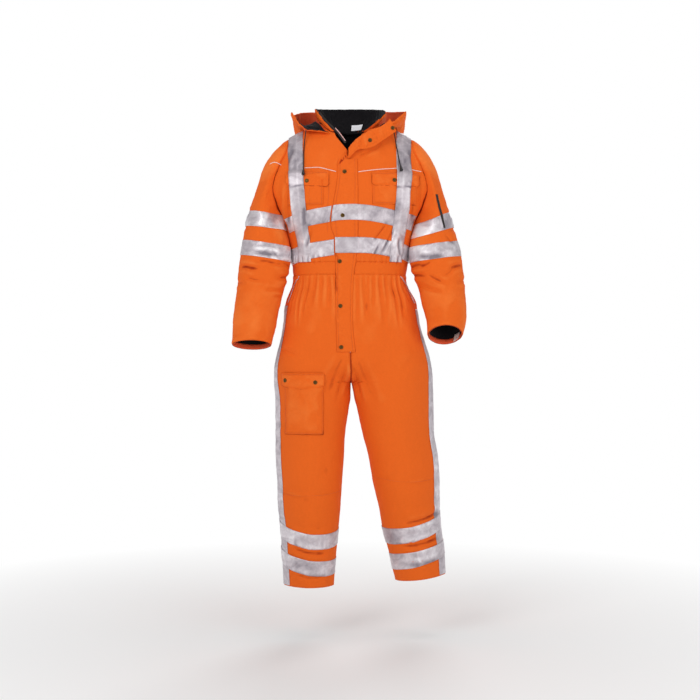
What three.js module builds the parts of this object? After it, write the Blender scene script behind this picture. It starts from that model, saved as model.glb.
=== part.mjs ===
import * as THREE from 'three';

// A padded boiler suit with a folded-back hood, filled out with nobody in it.
// Millimetres. The front faces -Y, up is +Z and the wearer's right is -X.
// The origin lies between the shoulders at the base of the neck.

// Cloth and gaps
const wall = 3;
const tapeThick = 0.8;
const pocketThick = 1.2;
const flapThick = 1.6;
const placketThick = 2;
const liningThick = 1.5;
const seamGap = 0.5;
const zipGap = 3;
const liningGap = 0.4;
const liftPlain = 1.4;
const liftOverTape = 3.7;
const liftOverPocket = 4;
const liftOverPlacket = 5;
const liftOverFlap = 7;
const liftLimb = 1;
const liftSleeve = 1.4;
const liftOverStripe = 2.6;
const liftThigh = 2.8;
const liftThighFlap = 5.4;

// Driving heights and widths
const chestZ = -230;
const underarmZ = -290;
const bandTopZ = -412;
const bandBottomZ = -450;
const crotchTopZ = -700;
const crotchZ = -794;
const slowTopZ = -620;
const slowBottomZ = -900;
const hemZ = { right: -1450, left: -1424 };
const hemTilt = { right: 0, left: 0.117 };
const hemTiltTopZ = -1250;
const shoulderTipX = 196;
const neckHalf = 92;
const openingHalf = 45;
const shoulderPeakZ = 55;
const shoulderDrop = 0.0016;
const tapeWidth = 49;
const trunkRound = 2.3;
const outerLegRound = 1.55;
const innerLegRound = 2;

// Trunk sections: half widths to the wearer's right and left, depths to front and back
const trunkRows = [
  { z: 60, right: 232, left: 232, front: 120, back: 108 },
  { z: -6, right: 236, left: 236, front: 121, back: 110 },
  { z: -50, right: 244, left: 244, front: 122, back: 112 },
  { z: -98, right: 264, left: 264, front: 124, back: 116 },
  { z: -146, right: 272, left: 272, front: 127, back: 119 },
  { z: -185, right: 268, left: 268, front: 129, back: 121 },
  { z: -229, right: 244, left: 244, front: 130, back: 121 },
  { z: -262, right: 220, left: 220, front: 129, back: 119 },
  { z: -290, right: 205, left: 205, front: 128, back: 117 },
  { z: -340, right: 193, left: 194, front: 124, back: 112 },
  { z: -405, right: 188, left: 188, front: 118, back: 106 },
  { z: -476, right: 184, left: 182, front: 116, back: 105 },
  { z: -535, right: 205, left: 210, front: 121, back: 120 },
  { z: -612, right: 215, left: 226, front: 126, back: 134 },
  { z: -690, right: 230, left: 246, front: 127, back: 140 },
  { z: -748, right: 243, left: 261, front: 126, back: 138 },
  { z: -794, right: 245, left: 267, front: 124, back: 134 },
  { z: -900, right: 240, left: 270, front: 112, back: 122 },
];

// Front view of the armhole seam: the distance out from the middle at each height
const armholeRows = [
  { z: 10, out: 193 },
  { z: -6, out: 196 },
  { z: -50, out: 203 },
  { z: -98, out: 224 },
  { z: -146, out: 240 },
  { z: -185, out: 245 },
  { z: -229, out: 232 },
  { z: -262, out: 216 },
  { z: -290, out: 205 },
];

// Leg sections: x of the outer and inner edges, half depths, and how far the middle lies forward
const legRows = {
  right: [
    { z: -794, outer: -245, inner: 2, front: 118, back: 124, middle: 2 },
    { z: -850, outer: -240, inner: 0, front: 112, back: 118, middle: 2 },
    { z: -962, outer: -240, inner: -16, front: 102, back: 108, middle: 0 },
    { z: -1040, outer: -239, inner: -20, front: 97, back: 100, middle: -4 },
    { z: -1118, outer: -234, inner: -26, front: 94, back: 92, middle: -6 },
    { z: -1196, outer: -232, inner: -31, front: 89, back: 86, middle: -2 },
    { z: -1273, outer: -224, inner: -38, front: 82, back: 80, middle: 4 },
    { z: -1351, outer: -220, inner: -45, front: 76, back: 75, middle: 8 },
    { z: -1450, outer: -214, inner: -52, front: 72, back: 72, middle: 10 },
  ],
  left: [
    { z: -794, outer: 267, inner: 5, front: 118, back: 124, middle: 2 },
    { z: -850, outer: 269, inner: 16, front: 112, back: 118, middle: 2 },
    { z: -962, outer: 272, inner: 42, front: 102, back: 108, middle: 0 },
    { z: -1040, outer: 284, inner: 62, front: 97, back: 100, middle: -4 },
    { z: -1118, outer: 288, inner: 75, front: 94, back: 92, middle: -6 },
    { z: -1196, outer: 289, inner: 93, front: 89, back: 86, middle: -2 },
    { z: -1273, outer: 295, inner: 107, front: 82, back: 80, middle: 4 },
    { z: -1351, outer: 305, inner: 130, front: 76, back: 75, middle: 8 },
    { z: -1430, outer: 310, inner: 147, front: 72, back: 72, middle: 10 },
  ],
};

// Hanging part of the sleeves: middle of each ring, its two edges, y, half depth, forward tilt
const sleeveRows = {
  right: [
    { z: -330, outer: 343, inner: 205, y: -24, depth: 74, tilt: 0 },
    { z: -385, outer: 350, inner: 190, y: -40, depth: 72, tilt: 2 },
    { z: -440, outer: 357, inner: 196, y: -48, depth: 70, tilt: 5 },
    { z: -500, outer: 361, inner: 211, y: -56, depth: 68, tilt: 8 },
    { z: -560, outer: 368, inner: 225, y: -66, depth: 64, tilt: 11 },
    { z: -620, outer: 372, inner: 236, y: -78, depth: 60, tilt: 14 },
    { z: -674, outer: 374, inner: 250, y: -92, depth: 56, tilt: 16 },
  ],
  left: [
    { z: -330, outer: 343, inner: 205, y: -24, depth: 74, tilt: 0 },
    { z: -385, outer: 356, inner: 190, y: -40, depth: 72, tilt: 3 },
    { z: -440, outer: 362, inner: 197, y: -50, depth: 70, tilt: 8 },
    { z: -495, outer: 367, inner: 219, y: -62, depth: 68, tilt: 14 },
    { z: -550, outer: 369, inner: 230, y: -78, depth: 65, tilt: 20 },
    { z: -600, outer: 366, inner: 241, y: -98, depth: 62, tilt: 26 },
    { z: -642, outer: 354, inner: 244, y: -118, depth: 60, tilt: 31 },
  ],
};

// Top edge of the collar, from its right front end round the back to its left front end
const collarTop = [
  { x: -106, y: -72, z: 66 },
  { x: -111, y: -44, z: 80 },
  { x: -113, y: 2, z: 90 },
  { x: -94, y: 46, z: 97 },
  { x: -58, y: 70, z: 101 },
  { x: 0, y: 78, z: 103 },
  { x: 58, y: 70, z: 101 },
  { x: 93, y: 46, z: 96 },
  { x: 108, y: 2, z: 87 },
  { x: 117, y: -40, z: 72 },
  { x: 112, y: -66, z: 57 },
];

// Hood sections from the seam, down into the pouch and up to the rim: right front round to left
const hoodSections = [
  [[-64.6, -73.1, -4], [-93, -76, 4], [-115, -71, 6], [-131, -67, 7], [-143, -63, 11]],
  [[-74.8, -64.6, 4], [-108, -63, 11], [-136, -57, 14], [-156, -53, 24], [-169, -49, 40]],
  [[-91.7, -51.5, 26], [-124, -42, 25], [-152, -34, 27], [-175, -28, 46], [-190, -24, 74]],
  [[-107.5, -7.6, 47], [-136, 16, 34], [-162, 30, 28], [-184, 38, 48], [-187, 38, 78]],
  [[-82, 41.7, 33.7], [-116, 92, -4], [-150, 124, -40], [-172, 138, 20], [-152, 122, 103]],
  [[-43, 56.3, 25.4], [-64, 112, -56], [-86, 138, -135], [-98, 192, -40], [-84, 176, 109]],
  [[-0.8, 61, 21.6], [0, 116, -80], [0, 136, -188], [0, 208, -76], [0, 196, 82]],
  [[43, 56.3, 25.4], [64, 112, -56], [86, 138, -135], [98, 192, -40], [84, 176, 111]],
  [[82.8, 43.3, 35.5], [116, 92, -4], [150, 124, -40], [170, 138, 20], [152, 122, 105]],
  [[106.6, -9.7, 40.8], [136, 16, 32], [160, 30, 28], [178, 36, 50], [183, 36, 89]],
  [[92.4, -50.5, 22.2], [124, -44, 22], [148, -34, 27], [166, -26, 46], [180, -20, 76]],
  [[80.5, -63.3, 1], [108, -63, 14], [132, -57, 20], [148, -51, 34], [160, -45, 56]],
  [[69.6, -73.5, -4.3], [96, -77, 8], [114, -72, 16], [128, -67, 25], [139, -62, 38]],
];

// Open top end of the storm flap: its fold edge and its free edge, from the V outward
const flapEndRows = [
  { foldX: -4, foldY: -107, foldZ: -50, freeX: -6, freeY: -110.9, freeZ: -87.4 },
  { foldX: 19, foldY: -112, foldZ: -25, freeX: 22, freeY: -113, freeZ: -60 },
  { foldX: 41, foldY: -107, foldZ: -10, freeX: 48, freeY: -109, freeZ: -56 },
  { foldX: 63, foldY: -102, foldZ: 6, freeX: 75, freeY: -104, freeZ: -48 },
  { foldX: 95, foldY: -95, foldZ: 17, freeX: 100, freeY: -98, freeZ: -30 },
  { foldX: 115, foldY: -91, foldZ: 31, freeX: 124, freeY: -94, freeZ: -13 },
  { foldX: 126, foldY: -89, foldZ: 44, freeX: 147, freeY: -92, freeZ: 3 },
];

// Free edge and stitched edge of the placket at each height
const placketRows = [
  { z: -88, free: -38, stitched: 24 },
  { z: -160, free: -41, stitched: 25 },
  { z: -230, free: -53, stitched: 26 },
  { z: -300, free: -60, stitched: 26 },
  { z: -345, free: -46, stitched: 25 },
  { z: -412, free: -46, stitched: 19 },
  { z: -450, free: -46, stitched: 13 },
  { z: -520, free: -46, stitched: 10 },
  { z: -620, free: -43, stitched: 10 },
  { z: -696, free: -41, stitched: 18 },
];

// Reflective bands on the front: the middle of the tape at each distance from the centre
const upperBandRows = [
  { x: -230, z: -297 },
  { x: -205, z: -294 },
  { x: -140, z: -276 },
  { x: -75, z: -265 },
  { x: -30, z: -258 },
  { x: 40, z: -258 },
  { x: 95, z: -265 },
  { x: 135, z: -273 },
  { x: 200, z: -284 },
  { x: 230, z: -290 },
];
const lowerBandRows = [
  { x: -190, z: -393 },
  { x: -170, z: -388 },
  { x: -125, z: -377 },
  { x: -75, z: -370 },
  { x: -48, z: -366 },
];
const lowerBandLeftRows = [
  { x: -46, z: -360 },
  { x: 60, z: -361 },
  { x: 128, z: -370 },
  { x: 170, z: -378 },
  { x: 190, z: -384 },
];
const bandBackZ = { upper: -278, lower: -384 };

// Inner and outer edges of the braces on the front, as distances from the middle
const braceRows = {
  right: [
    { z: 20, inner: 150, outer: 196 },
    { z: -60, inner: 150, outer: 198 },
    { z: -130, inner: 146, outer: 192 },
    { z: -200, inner: 142, outer: 187 },
    { z: -300, inner: 133, outer: 176 },
    { z: -345, inner: 126, outer: 166 },
    { z: -410, inner: 122, outer: 162 },
  ],
  left: [
    { z: 20, inner: 150, outer: 197 },
    { z: -60, inner: 147, outer: 194 },
    { z: -130, inner: 147, outer: 194 },
    { z: -200, inner: 145, outer: 188 },
    { z: -260, inner: 140, outer: 184 },
    { z: -345, inner: 129, outer: 170 },
    { z: -410, inner: 124, outer: 164 },
  ],
};

// Reflective bands on the legs: the middle of the tape at the inseam, front, side and back
const legBands = {
  right: [
    { name: 'upper', inseam: -1288, front: -1300, side: -1258, back: -1280 },
    { name: 'lower', inseam: -1384, front: -1386, side: -1348, back: -1372 },
  ],
  left: [
    { name: 'upper', inseam: -1284, front: -1276, side: -1232, back: -1262 },
    { name: 'lower', inseam: -1366, front: -1356, side: -1330, back: -1350 },
  ],
};

// Reflective bands on the sleeves: the middle of the tape on the outer and inner sides, and how
// far round from the outer side a band that isn't a full ring reaches, in radians
const sleeveBands = {
  right: [
    { name: 'upper', outer: -268, inner: -284, reach: 2.2 },
    { name: 'lower', outer: -362, inner: -386 },
  ],
  left: [
    { name: 'upper', outer: -272, inner: -316, reach: 2.35 },
    { name: 'lower', outer: -366, inner: -388 },
  ],
};

const colours = {
  cloth: 0xe8692a,
  tape: 0xaeabb8,
  lining: 0x17171a,
  facing: 0xd9502a,
  zip: 0x1c1a1c,
  snap: 0x5a4630,
  label: 0xf2f0f2,
  cord: 0x141414,
};

const sides = ['right', 'left'];
const signs = { right: -1, left: 1 };
const degree = Math.PI / 180;
const group = new THREE.Group();

function mix(a, b, t) {
  return a + (b - a) * t;
}

function clamp(value, low, high) {
  return Math.min(high, Math.max(low, value));
}

// A smooth value of one column of a table at a given position along its key column
function column(rows, key, at, name) {
  const rising = rows[rows.length - 1][key] > rows[0][key];
  const order = rising ? rows : rows.slice().reverse();
  const last = order.length - 1;
  const place = clamp(at, order[0][key], order[last][key]);
  let i = 0;
  while (i < last - 1 && order[i + 1][key] < place) i += 1;
  const a = order[i];
  const b = order[i + 1];
  const before = order[Math.max(0, i - 1)];
  const after = order[Math.min(last, i + 2)];
  const step = b[key] - a[key];
  const slopeA = (b[name] - before[name]) / (b[key] - before[key]);
  const slopeB = (after[name] - a[name]) / (after[key] - a[key]);
  const t = (place - a[key]) / step;
  const t2 = t * t;
  const t3 = t2 * t;
  return (2 * t3 - 3 * t2 + 1) * a[name] + (t3 - 2 * t2 + t) * step * slopeA
    + (3 * t2 - 2 * t3) * b[name] + (t3 - t2) * step * slopeB;
}

// The closed wall between a grid of points and the same grid moved inward along its normals.
// At a seam, seamFix(i, j, normal) turns the normal so that the wall's edge is square to the seam.
function shellGeometry(grid, thick, out, closed = false, seamFix = () => {}) {
  const rows = grid.length;
  const cols = grid[0].length;
  const inner = grid.map((row, i) => row.map((point, j) => {
    const normal = gridNormal(grid, i, j, closed).multiplyScalar(out);
    seamFix(i, j, normal);
    return point.clone().addScaledVector(normal.normalize(), -thick);
  }));
  const positions = [];
  for (const layer of [grid, inner]) {
    for (const row of layer) {
      for (const point of row) positions.push(point.x, point.y, point.z);
    }
  }
  const half = rows * cols;
  const index = [];
  const quad = (a, b, c, d) => {
    if (out > 0) index.push(a, b, c, a, c, d);
    else index.push(a, c, b, a, d, c);
  };
  const wrap = closed ? cols : cols - 1;
  for (let i = 0; i < rows - 1; i += 1) {
    for (let j = 0; j < wrap; j += 1) {
      const k = (j + 1) % cols;
      const a = i * cols + j;
      const b = i * cols + k;
      const c = (i + 1) * cols + k;
      const d = (i + 1) * cols + j;
      quad(a, b, c, d);
      quad(half + a, half + d, half + c, half + b);
    }
  }
  for (let j = 0; j < wrap; j += 1) {
    const k = (j + 1) % cols;
    const top = (rows - 1) * cols;
    quad(j, half + j, half + k, k);
    quad(top + k, half + top + k, half + top + j, top + j);
  }
  if (!closed) {
    for (let i = 0; i < rows - 1; i += 1) {
      const a = i * cols;
      const d = (i + 1) * cols;
      const b = a + cols - 1;
      const c = d + cols - 1;
      quad(d, half + d, half + a, a);
      quad(b, half + b, half + c, c);
    }
  }
  const geometry = new THREE.BufferGeometry();
  geometry.setAttribute('position', new THREE.Float32BufferAttribute(positions, 3));
  geometry.setIndex(index);
  geometry.computeVertexNormals();
  return geometry;
}

function gridNormal(grid, i, j, closed) {
  const rows = grid.length;
  const cols = grid[0].length;
  const left = closed ? (j + cols - 1) % cols : Math.max(0, j - 1);
  const right = closed ? (j + 1) % cols : Math.min(cols - 1, j + 1);
  const across = grid[i][right].clone().sub(grid[i][left]);
  const along = grid[Math.min(rows - 1, i + 1)][j].clone().sub(grid[Math.max(0, i - 1)][j]);
  return across.cross(along).normalize();
}

// The grid moved outward along its normals, by one distance or by a distance for each point
function lifted(grid, out, lift, closed = false) {
  return grid.map((row, i) => row.map((point, j) => {
    const rise = typeof lift === 'function' ? lift(point, i, j) : lift;
    const normal = gridNormal(grid, i, j, closed);
    return point.clone().addScaledVector(normal, out * rise);
  }));
}

function addMesh(name, geometry, colour, roughness = 0.85, metalness = 0) {
  const material = new THREE.MeshStandardMaterial({ color: colour, roughness, metalness });
  material.side = THREE.FrontSide;
  const mesh = new THREE.Mesh(geometry, material);
  mesh.name = name;
  group.add(mesh);
  return mesh;
}

// A piece that lies on a panel: the panel's own points, moved out by the lift
function addOverlay(name, grid, out, lift, thick, colour, closed = false) {
  const top = (point, i, j) => thick + (typeof lift === 'function' ? lift(point, i, j) : lift);
  const outer = lifted(grid, out, top, closed);
  addMesh(name, shellGeometry(outer, thick, out, closed), colour);
}

function shoulderZ(x) {
  return shoulderPeakZ - shoulderDrop * x * x;
}

function centreX(z) {
  return -6 - 9 * z / 794;
}

// Depth of the trunk's surface at a place in the front view; face is -1 in front, 1 behind
function trunkY(x, z, face) {
  const half = column(trunkRows, 'z', z, x < 0 ? 'right' : 'left');
  const depth = column(trunkRows, 'z', z, face < 0 ? 'front' : 'back');
  const across = Math.min(1, Math.abs(x) / half);
  const round = Math.pow(1 - Math.pow(across, trunkRound), 1 / trunkRound);
  const up = clamp((z - chestZ) / (shoulderZ(x) - chestZ), 0, 1);
  return face * depth * round * Math.sqrt(1 - up * up);
}

function onTrunk(x, z, face) {
  return new THREE.Vector3(x, trunkY(x, z, face), z);
}

// Outer limit of the trunk's panels: the side seam, and the armhole seam above the underarm
function panelEdge(z, side) {
  return z > underarmZ ? column(armholeRows, 'z', z, 'out') : column(trunkRows, 'z', z, side);
}

// Height of the neck edge of the front and back panels
function neckZ(x, face) {
  const out = Math.abs(x);
  const tip = shoulderZ(neckHalf);
  if (face > 0) return mix(20, tip, (out / neckHalf) ** 2);
  if (out > openingHalf) return mix(3, tip, ((out - openingHalf) / (neckHalf - openingHalf)) ** 2);
  return mix(-59, 3, clamp(Math.abs(x - centreX(0)) / (openingHalf + 3), 0, 1));
}

// Columns of the torso panels, as angles from the middle; rows below and above the chest line
const panelAngles = [0, 10.6, 17.8, 24.8, 39, 53, 67, 79.5, 90];
const lowerLevels = [-411.6, -378, -342, -314, -290, -262, -230];
const upperTurns = [0.1, 0.21, 0.33, 0.46, 0.59, 0.72, 0.86, 1];

function panelReach(angle) {
  return Math.pow(Math.sin(angle * degree), 2 / trunkRound);
}

// Point of a torso panel: side and angle across, level or fraction of the turn over the shoulder
function torsoPoint(side, face, angle, level, turn) {
  const sign = signs[side];
  const reach = panelReach(angle);
  if (turn === undefined) {
    const middle = centreX(level);
    const x = mix(middle, sign * panelEdge(level, side), reach);
    return new THREE.Vector3(x, trunkY(x, level, face) + face * seamGap / 2, level);
  }
  const middle = centreX(0);
  const topX = mix(middle, sign * shoulderTipX, reach);
  const topUp = Math.abs(topX) >= neckHalf - 0.5
    ? 1
    : (neckZ(topX, face) - chestZ) / (shoulderZ(topX) - chestZ);
  const up = Math.sin(turn * Math.asin(clamp(topUp, 0, 1)));
  const edgeUp = Math.sin(turn * Math.PI / 2);
  let edge = shoulderTipX;
  for (let n = 0; n < 20; n += 1) {
    edge = column(armholeRows, 'z', mix(chestZ, shoulderZ(edge), edgeUp), 'out');
  }
  const x = mix(middle, sign * mix(edge, shoulderTipX, turn ** 8), reach);
  const z = mix(chestZ, shoulderZ(x), up);
  return new THREE.Vector3(x, trunkY(x, z, face) + face * seamGap / 2, z);
}

function torsoRow(side, face, angles, level, turn) {
  return angles.map((angle) => torsoPoint(side, face, angle, level, turn));
}

function torsoGrid(side, face, angles) {
  const lower = lowerLevels.map((level) => torsoRow(side, face, angles, level));
  const upper = upperTurns.map((turn) => torsoRow(side, face, angles, chestZ, turn));
  return lower.concat(upper);
}

// Side and shoulder seams lie across Y
function torsoSeam(i, j, normal) {
  const neckColumns = 3;
  const atShoulder = i === lowerLevels.length + upperTurns.length - 1 && j >= neckColumns;
  const atSide = j === panelAngles.length - 1 && i <= lowerLevels.indexOf(underarmZ);
  if (atShoulder || atSide) normal.y = 0;
}

const torsoGrids = {};
for (const side of sides) {
  const grid = torsoGrid(side, -1, panelAngles);
  for (const row of grid) row[0].x += signs[side] * zipGap / 2;
  torsoGrids[side] = grid;
  addMesh(`front_${side}`, shellGeometry(grid, wall, signs[side], false, torsoSeam), colours.cloth);
}
const backRight = torsoGrid('right', 1, panelAngles);
const backLeft = torsoGrid('left', 1, panelAngles);
const backGrid = backRight.map((row, i) => row.slice(1).reverse().concat(backLeft[i]));
const backMiddle = panelAngles.length - 1;
const backSeam = (i, j, normal) => torsoSeam(i, Math.abs(j - backMiddle), normal);
addMesh('back', shellGeometry(backGrid, wall, -1, false, backSeam), colours.cloth);

// Point on the whole trunk's ring at a height; the angle runs from the front to the wearer's left
function ringPoint(angle, z) {
  const side = Math.sin(angle) < 0 ? 'right' : 'left';
  const half = column(trunkRows, 'z', z, side);
  const x = signs[side] * half * Math.pow(Math.abs(Math.sin(angle)), 2 / trunkRound);
  const face = Math.cos(angle) > 0 ? -1 : 1;
  return new THREE.Vector3(x, trunkY(x, z, face), z);
}

// Elastic waistband: a ring with its ends at the front zip
const waistLevels = [bandBottomZ + 0.4, (bandTopZ + bandBottomZ) / 2, bandTopZ - 0.2];
const waistSteps = 24;
const waistGrid = waistLevels.map((z) => {
  const row = [];
  for (let j = 0; j <= waistSteps; j += 1) {
    const start = 0.01 + Math.asin(-centreX(z) / 190);
    const angle = mix(-start + 0.013, 2 * Math.PI - start - 0.013, j / waistSteps);
    row.push(ringPoint(angle, z));
  }
  return row;
});
addMesh('waistband', shellGeometry(waistGrid, wall, 1, false), colours.cloth);

// Share of the leg's own section in the trousers. At the centre seam it follows the round crotch
// curve and is whole at the crotch. Farther out it grows more slowly.
function legShare(turn, z) {
  const down = clamp((crotchTopZ - z) / (crotchTopZ - crotchZ), 0, 1);
  const slowDown = clamp((slowTopZ - z) / (slowTopZ - slowBottomZ), 0, 1);
  const slow = slowDown * slowDown * (3 - 2 * slowDown);
  const out = clamp(turn / 0.5, 0, 1);
  return mix(1 - Math.sqrt(1 - down * down), slow, out * out * (3 - 2 * out));
}

// Point of the trousers; turn runs from 0 at the centre seam or inseam to 1 at the side seam
function trouserPoint(side, face, turn, z) {
  const sign = signs[side];
  const angle = turn * Math.PI / 2;
  const trunk = new THREE.Vector3();
  trunk.x = mix(centreX(z), sign * column(trunkRows, 'z', z, side),
    Math.pow(Math.sin(angle), 2 / trunkRound));
  trunk.y = turn === 1 ? 0 : trunkY(trunk.x, z, face);
  const rows = legRows[side];
  const outer = column(rows, 'z', z, 'outer');
  const inner = column(rows, 'z', z, 'inner');
  const depth = column(rows, 'z', z, face < 0 ? 'front' : 'back');
  const cosine = Math.cos(2 * angle);
  const power = 2 / (cosine > 0 ? innerLegRound : outerLegRound);
  const across = Math.sign(cosine) * Math.pow(Math.abs(cosine), power);
  const leg = new THREE.Vector3();
  leg.x = (outer + inner) / 2 - (outer - inner) / 2 * across;
  leg.y = column(rows, 'z', z, 'middle')
    + face * depth * Math.pow(Math.max(0, Math.sin(2 * angle)), power);
  const point = trunk.lerp(leg, legShare(turn, z));
  const tilt = hemTilt[side] * clamp((hemTiltTopZ - z) / (hemTiltTopZ - hemZ[side]), 0, 1);
  point.z = z + tilt * (point.x - (outer + inner) / 2);
  return point;
}

const trouserLevels = [
  -450.4, -476, -515, -570, -635, -700, -738, -770, -788, -794,
  -822, -880, -960, -1050, -1140, -1230, -1330,
];
const trouserTurns = [0, 0.16, 0.34, 0.52, 0.7, 0.87, 1];
const trouserGrids = { right: {}, left: {} };
for (const side of sides) {
  // The centre seam lies across X, and the inseam and the side seam across Y
  const trouserSeam = (i, j, normal) => {
    if (j === trouserTurns.length - 1) normal.y = 0;
    if (j > 0) return;
    if (i < trouserLevels.indexOf(crotchZ)) normal.x = 0;
    else normal.set(-signs[side], 0, 0);
  };
  for (const [face, word] of [[-1, 'front'], [1, 'back']]) {
    const levels = trouserLevels.concat(hemZ[side]);
    const grid = levels.map((z) => trouserTurns.map((turn) => {
      const point = trouserPoint(side, face, turn, z);
      point.y += face * seamGap / 2;
      return point;
    }));
    for (const row of grid) row[0].x += signs[side] * seamGap / 2;
    trouserGrids[side][face] = grid;
    const out = signs[side] * face;
    const geometry = shellGeometry(grid, wall, out, false, trouserSeam);
    addMesh(`trouser_${word}_${side}`, geometry, colours.cloth);
  }
}

// Place on a trouser panel's own facets at a turn and a level
function onTrousers(side, face, turn, z) {
  const levels = trouserLevels.concat(hemZ[side]);
  const grid = trouserGrids[side][face];
  let i = 0;
  while (i < levels.length - 2 && levels[i + 1] > z) i += 1;
  let j = 0;
  while (j < trouserTurns.length - 2 && trouserTurns[j + 1] < turn) j += 1;
  const down = (z - levels[i]) / (levels[i + 1] - levels[i]);
  const across = (turn - trouserTurns[j]) / (trouserTurns[j + 1] - trouserTurns[j]);
  const upper = grid[i][j].clone().lerp(grid[i][j + 1], across);
  const lower = grid[i + 1][j].clone().lerp(grid[i + 1][j + 1], across);
  return upper.lerp(lower, down);
}

// Armhole seam as a closed loop of points, from the shoulder tip down the front and up the back
function armholeLoop(side) {
  const last = panelAngles.length - 1;
  const front = torsoGrids[side].map((row) => row[last]);
  const back = (side === 'right' ? backRight : backLeft).map((row) => row[last]);
  const first = lowerLevels.indexOf(underarmZ);
  const down = front.slice(first).reverse();
  const up = back.slice(first + 1, back.length - 1);
  const loop = down.concat(up).map((point) => point.clone());
  loop[0].y = 0;
  loop[down.length - 1].y = 0;
  return loop;
}

// Point of a hanging sleeve ring; the angle runs from the outer side over the front
function sleeveRing(side, angle, z) {
  const rows = sleeveRows[side];
  const outer = column(rows, 'z', z, 'outer');
  const inner = column(rows, 'z', z, 'inner');
  const depth = column(rows, 'z', z, 'depth');
  const tilt = column(rows, 'z', z, 'tilt') * degree;
  const x = (outer + inner) / 2 + (outer - inner) / 2 * Math.cos(angle);
  const y = column(rows, 'z', z, 'y') - depth * Math.sin(angle) * Math.cos(tilt);
  return new THREE.Vector3(signs[side] * x, y, z + depth * Math.sin(angle) * Math.sin(tilt));
}

// How the sleeve leaves the armhole at each angle: outward over the cap, down at the underarm
function sleeveStart(side, angle) {
  const cap = (1 + Math.cos(angle)) / 2;
  return new THREE.Vector3(
    signs[side] * mix(12, 220, cap),
    -45 * Math.sin(angle) - 12 * (1 - cap),
    mix(-45, -120, cap),
  );
}

const sleeveTopZ = -330;
const sleeveDown = 300;
function sleevePoint(side, seamPoint, angle, s) {
  const start = sleeveStart(side, angle);
  const end = sleeveRing(side, angle, sleeveTopZ);
  const below = sleeveRing(side, angle, sleeveTopZ - 10);
  const length = mix(60, sleeveDown, (1 + Math.cos(angle)) / 2);
  const finish = below.sub(end).normalize().multiplyScalar(length);
  const s2 = s * s;
  const s3 = s2 * s;
  const point = new THREE.Vector3();
  point.addScaledVector(seamPoint, 2 * s3 - 3 * s2 + 1);
  point.addScaledVector(start, s3 - 2 * s2 + s);
  point.addScaledVector(end, 3 * s2 - 2 * s3);
  point.addScaledVector(finish, s3 - s2);
  return point;
}

function loopAngles(loop) {
  const top = loop[0].z;
  const low = Math.min(...loop.map((point) => point.z));
  return loop.map((point, j) => {
    const angle = Math.acos(clamp((2 * point.z - top - low) / (top - low), -1, 1));
    return j <= loop.findIndex((other) => other.z === low) ? angle : 2 * Math.PI - angle;
  });
}

const hangingSteps = [0.2, 0.42, 0.62, 0.82, 1];
const capSteps = [0.004, 0.2, 0.45, 0.73, 1];
const sleeves = {};
for (const side of sides) {
  const loop = armholeLoop(side);
  const angles = loopAngles(loop);
  const cap = capSteps.map((s) => loop.map((point, j) => sleevePoint(side, point, angles[j], s)));
  const hanging = hangingSteps.map((down) => {
    const z = mix(sleeveTopZ, sleeveRows[side][sleeveRows[side].length - 1].z, down);
    return angles.map((angle) => sleeveRing(side, angle, z));
  });
  const grid = cap.concat(hanging);
  sleeves[side] = { angles, grid };
  addMesh(`sleeve_${side}`, shellGeometry(grid, wall, signs[side], true), colours.cloth);
}

// Place on the front of the suit at a place in the front view, on either leg below the crotch
function onFront(x, z) {
  if (z > crotchTopZ) return onTrunk(x, z, -1);
  const side = x < centreX(z) ? 'right' : 'left';
  let low = 0;
  let high = 1;
  for (let n = 0; n < 30; n += 1) {
    const middle = (low + high) / 2;
    const beyond = signs[side] * (trouserPoint(side, -1, middle, z).x - x) > 0;
    if (beyond) high = middle;
    else low = middle;
  }
  return trouserPoint(side, -1, low, z);
}

// A grid of points with x from left to right and z from low to high in the front view
function frontGrid(columns, levels, place) {
  return levels.map((level) => columns.map((across) => place(across, level)));
}

function steps(from, to, count) {
  return Array.from({ length: count + 1 }, (_, n) => mix(from, to, n / count));
}

// Collar: a stand from the neck edge of the panels to its top edge, with a lining inside
const topRow = lowerLevels.length + upperTurns.length - 1;
const neckEdge = [1, 2, 3].map((j) => torsoGrids.right[topRow][j])
  .concat([2, 1, 0].map((j) => backRight[topRow][j]))
  .concat([1, 2].map((j) => backLeft[topRow][j]))
  .concat([3, 2, 1].map((j) => torsoGrids.left[topRow][j]));
const collarGrid = [0, 0.5, 1].map((up) => neckEdge.map((seamPoint, j) => {
  const top = new THREE.Vector3(collarTop[j].x, collarTop[j].y, collarTop[j].z);
  const rise = top.clone().sub(seamPoint).normalize();
  const base = seamPoint.clone().addScaledVector(rise, seamGap);
  const bulge = 5 * Math.sin(up * Math.PI);
  const outward = new THREE.Vector3(top.x, top.y, 0).normalize();
  return base.lerp(top, up).addScaledVector(outward, bulge);
}));
addMesh('collar', shellGeometry(collarGrid, wall, -1), colours.cloth);
const collarLiningGrid = lifted(collarGrid, -1, -(wall + liningGap));
addMesh('collar_lining', shellGeometry(collarLiningGrid, liningThick, -1), colours.lining);

// Neck label, left bare, on the lining at the back of the neck
const labelRise = -(wall + 2 * liningGap + liningThick);
const labelBack = lifted(collarGrid, -1, labelRise);
const labelGrid = [0.14, 0.46].map((up) => [0.1, 0.68].map((across) => {
  const low = labelBack[0][5].clone().lerp(labelBack[0][6], across);
  const high = labelBack[1][5].clone().lerp(labelBack[1][6], across);
  return low.lerp(high, up * 2);
}));
addMesh('neck_label', shellGeometry(labelGrid, 0.6, -1), colours.label);

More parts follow.
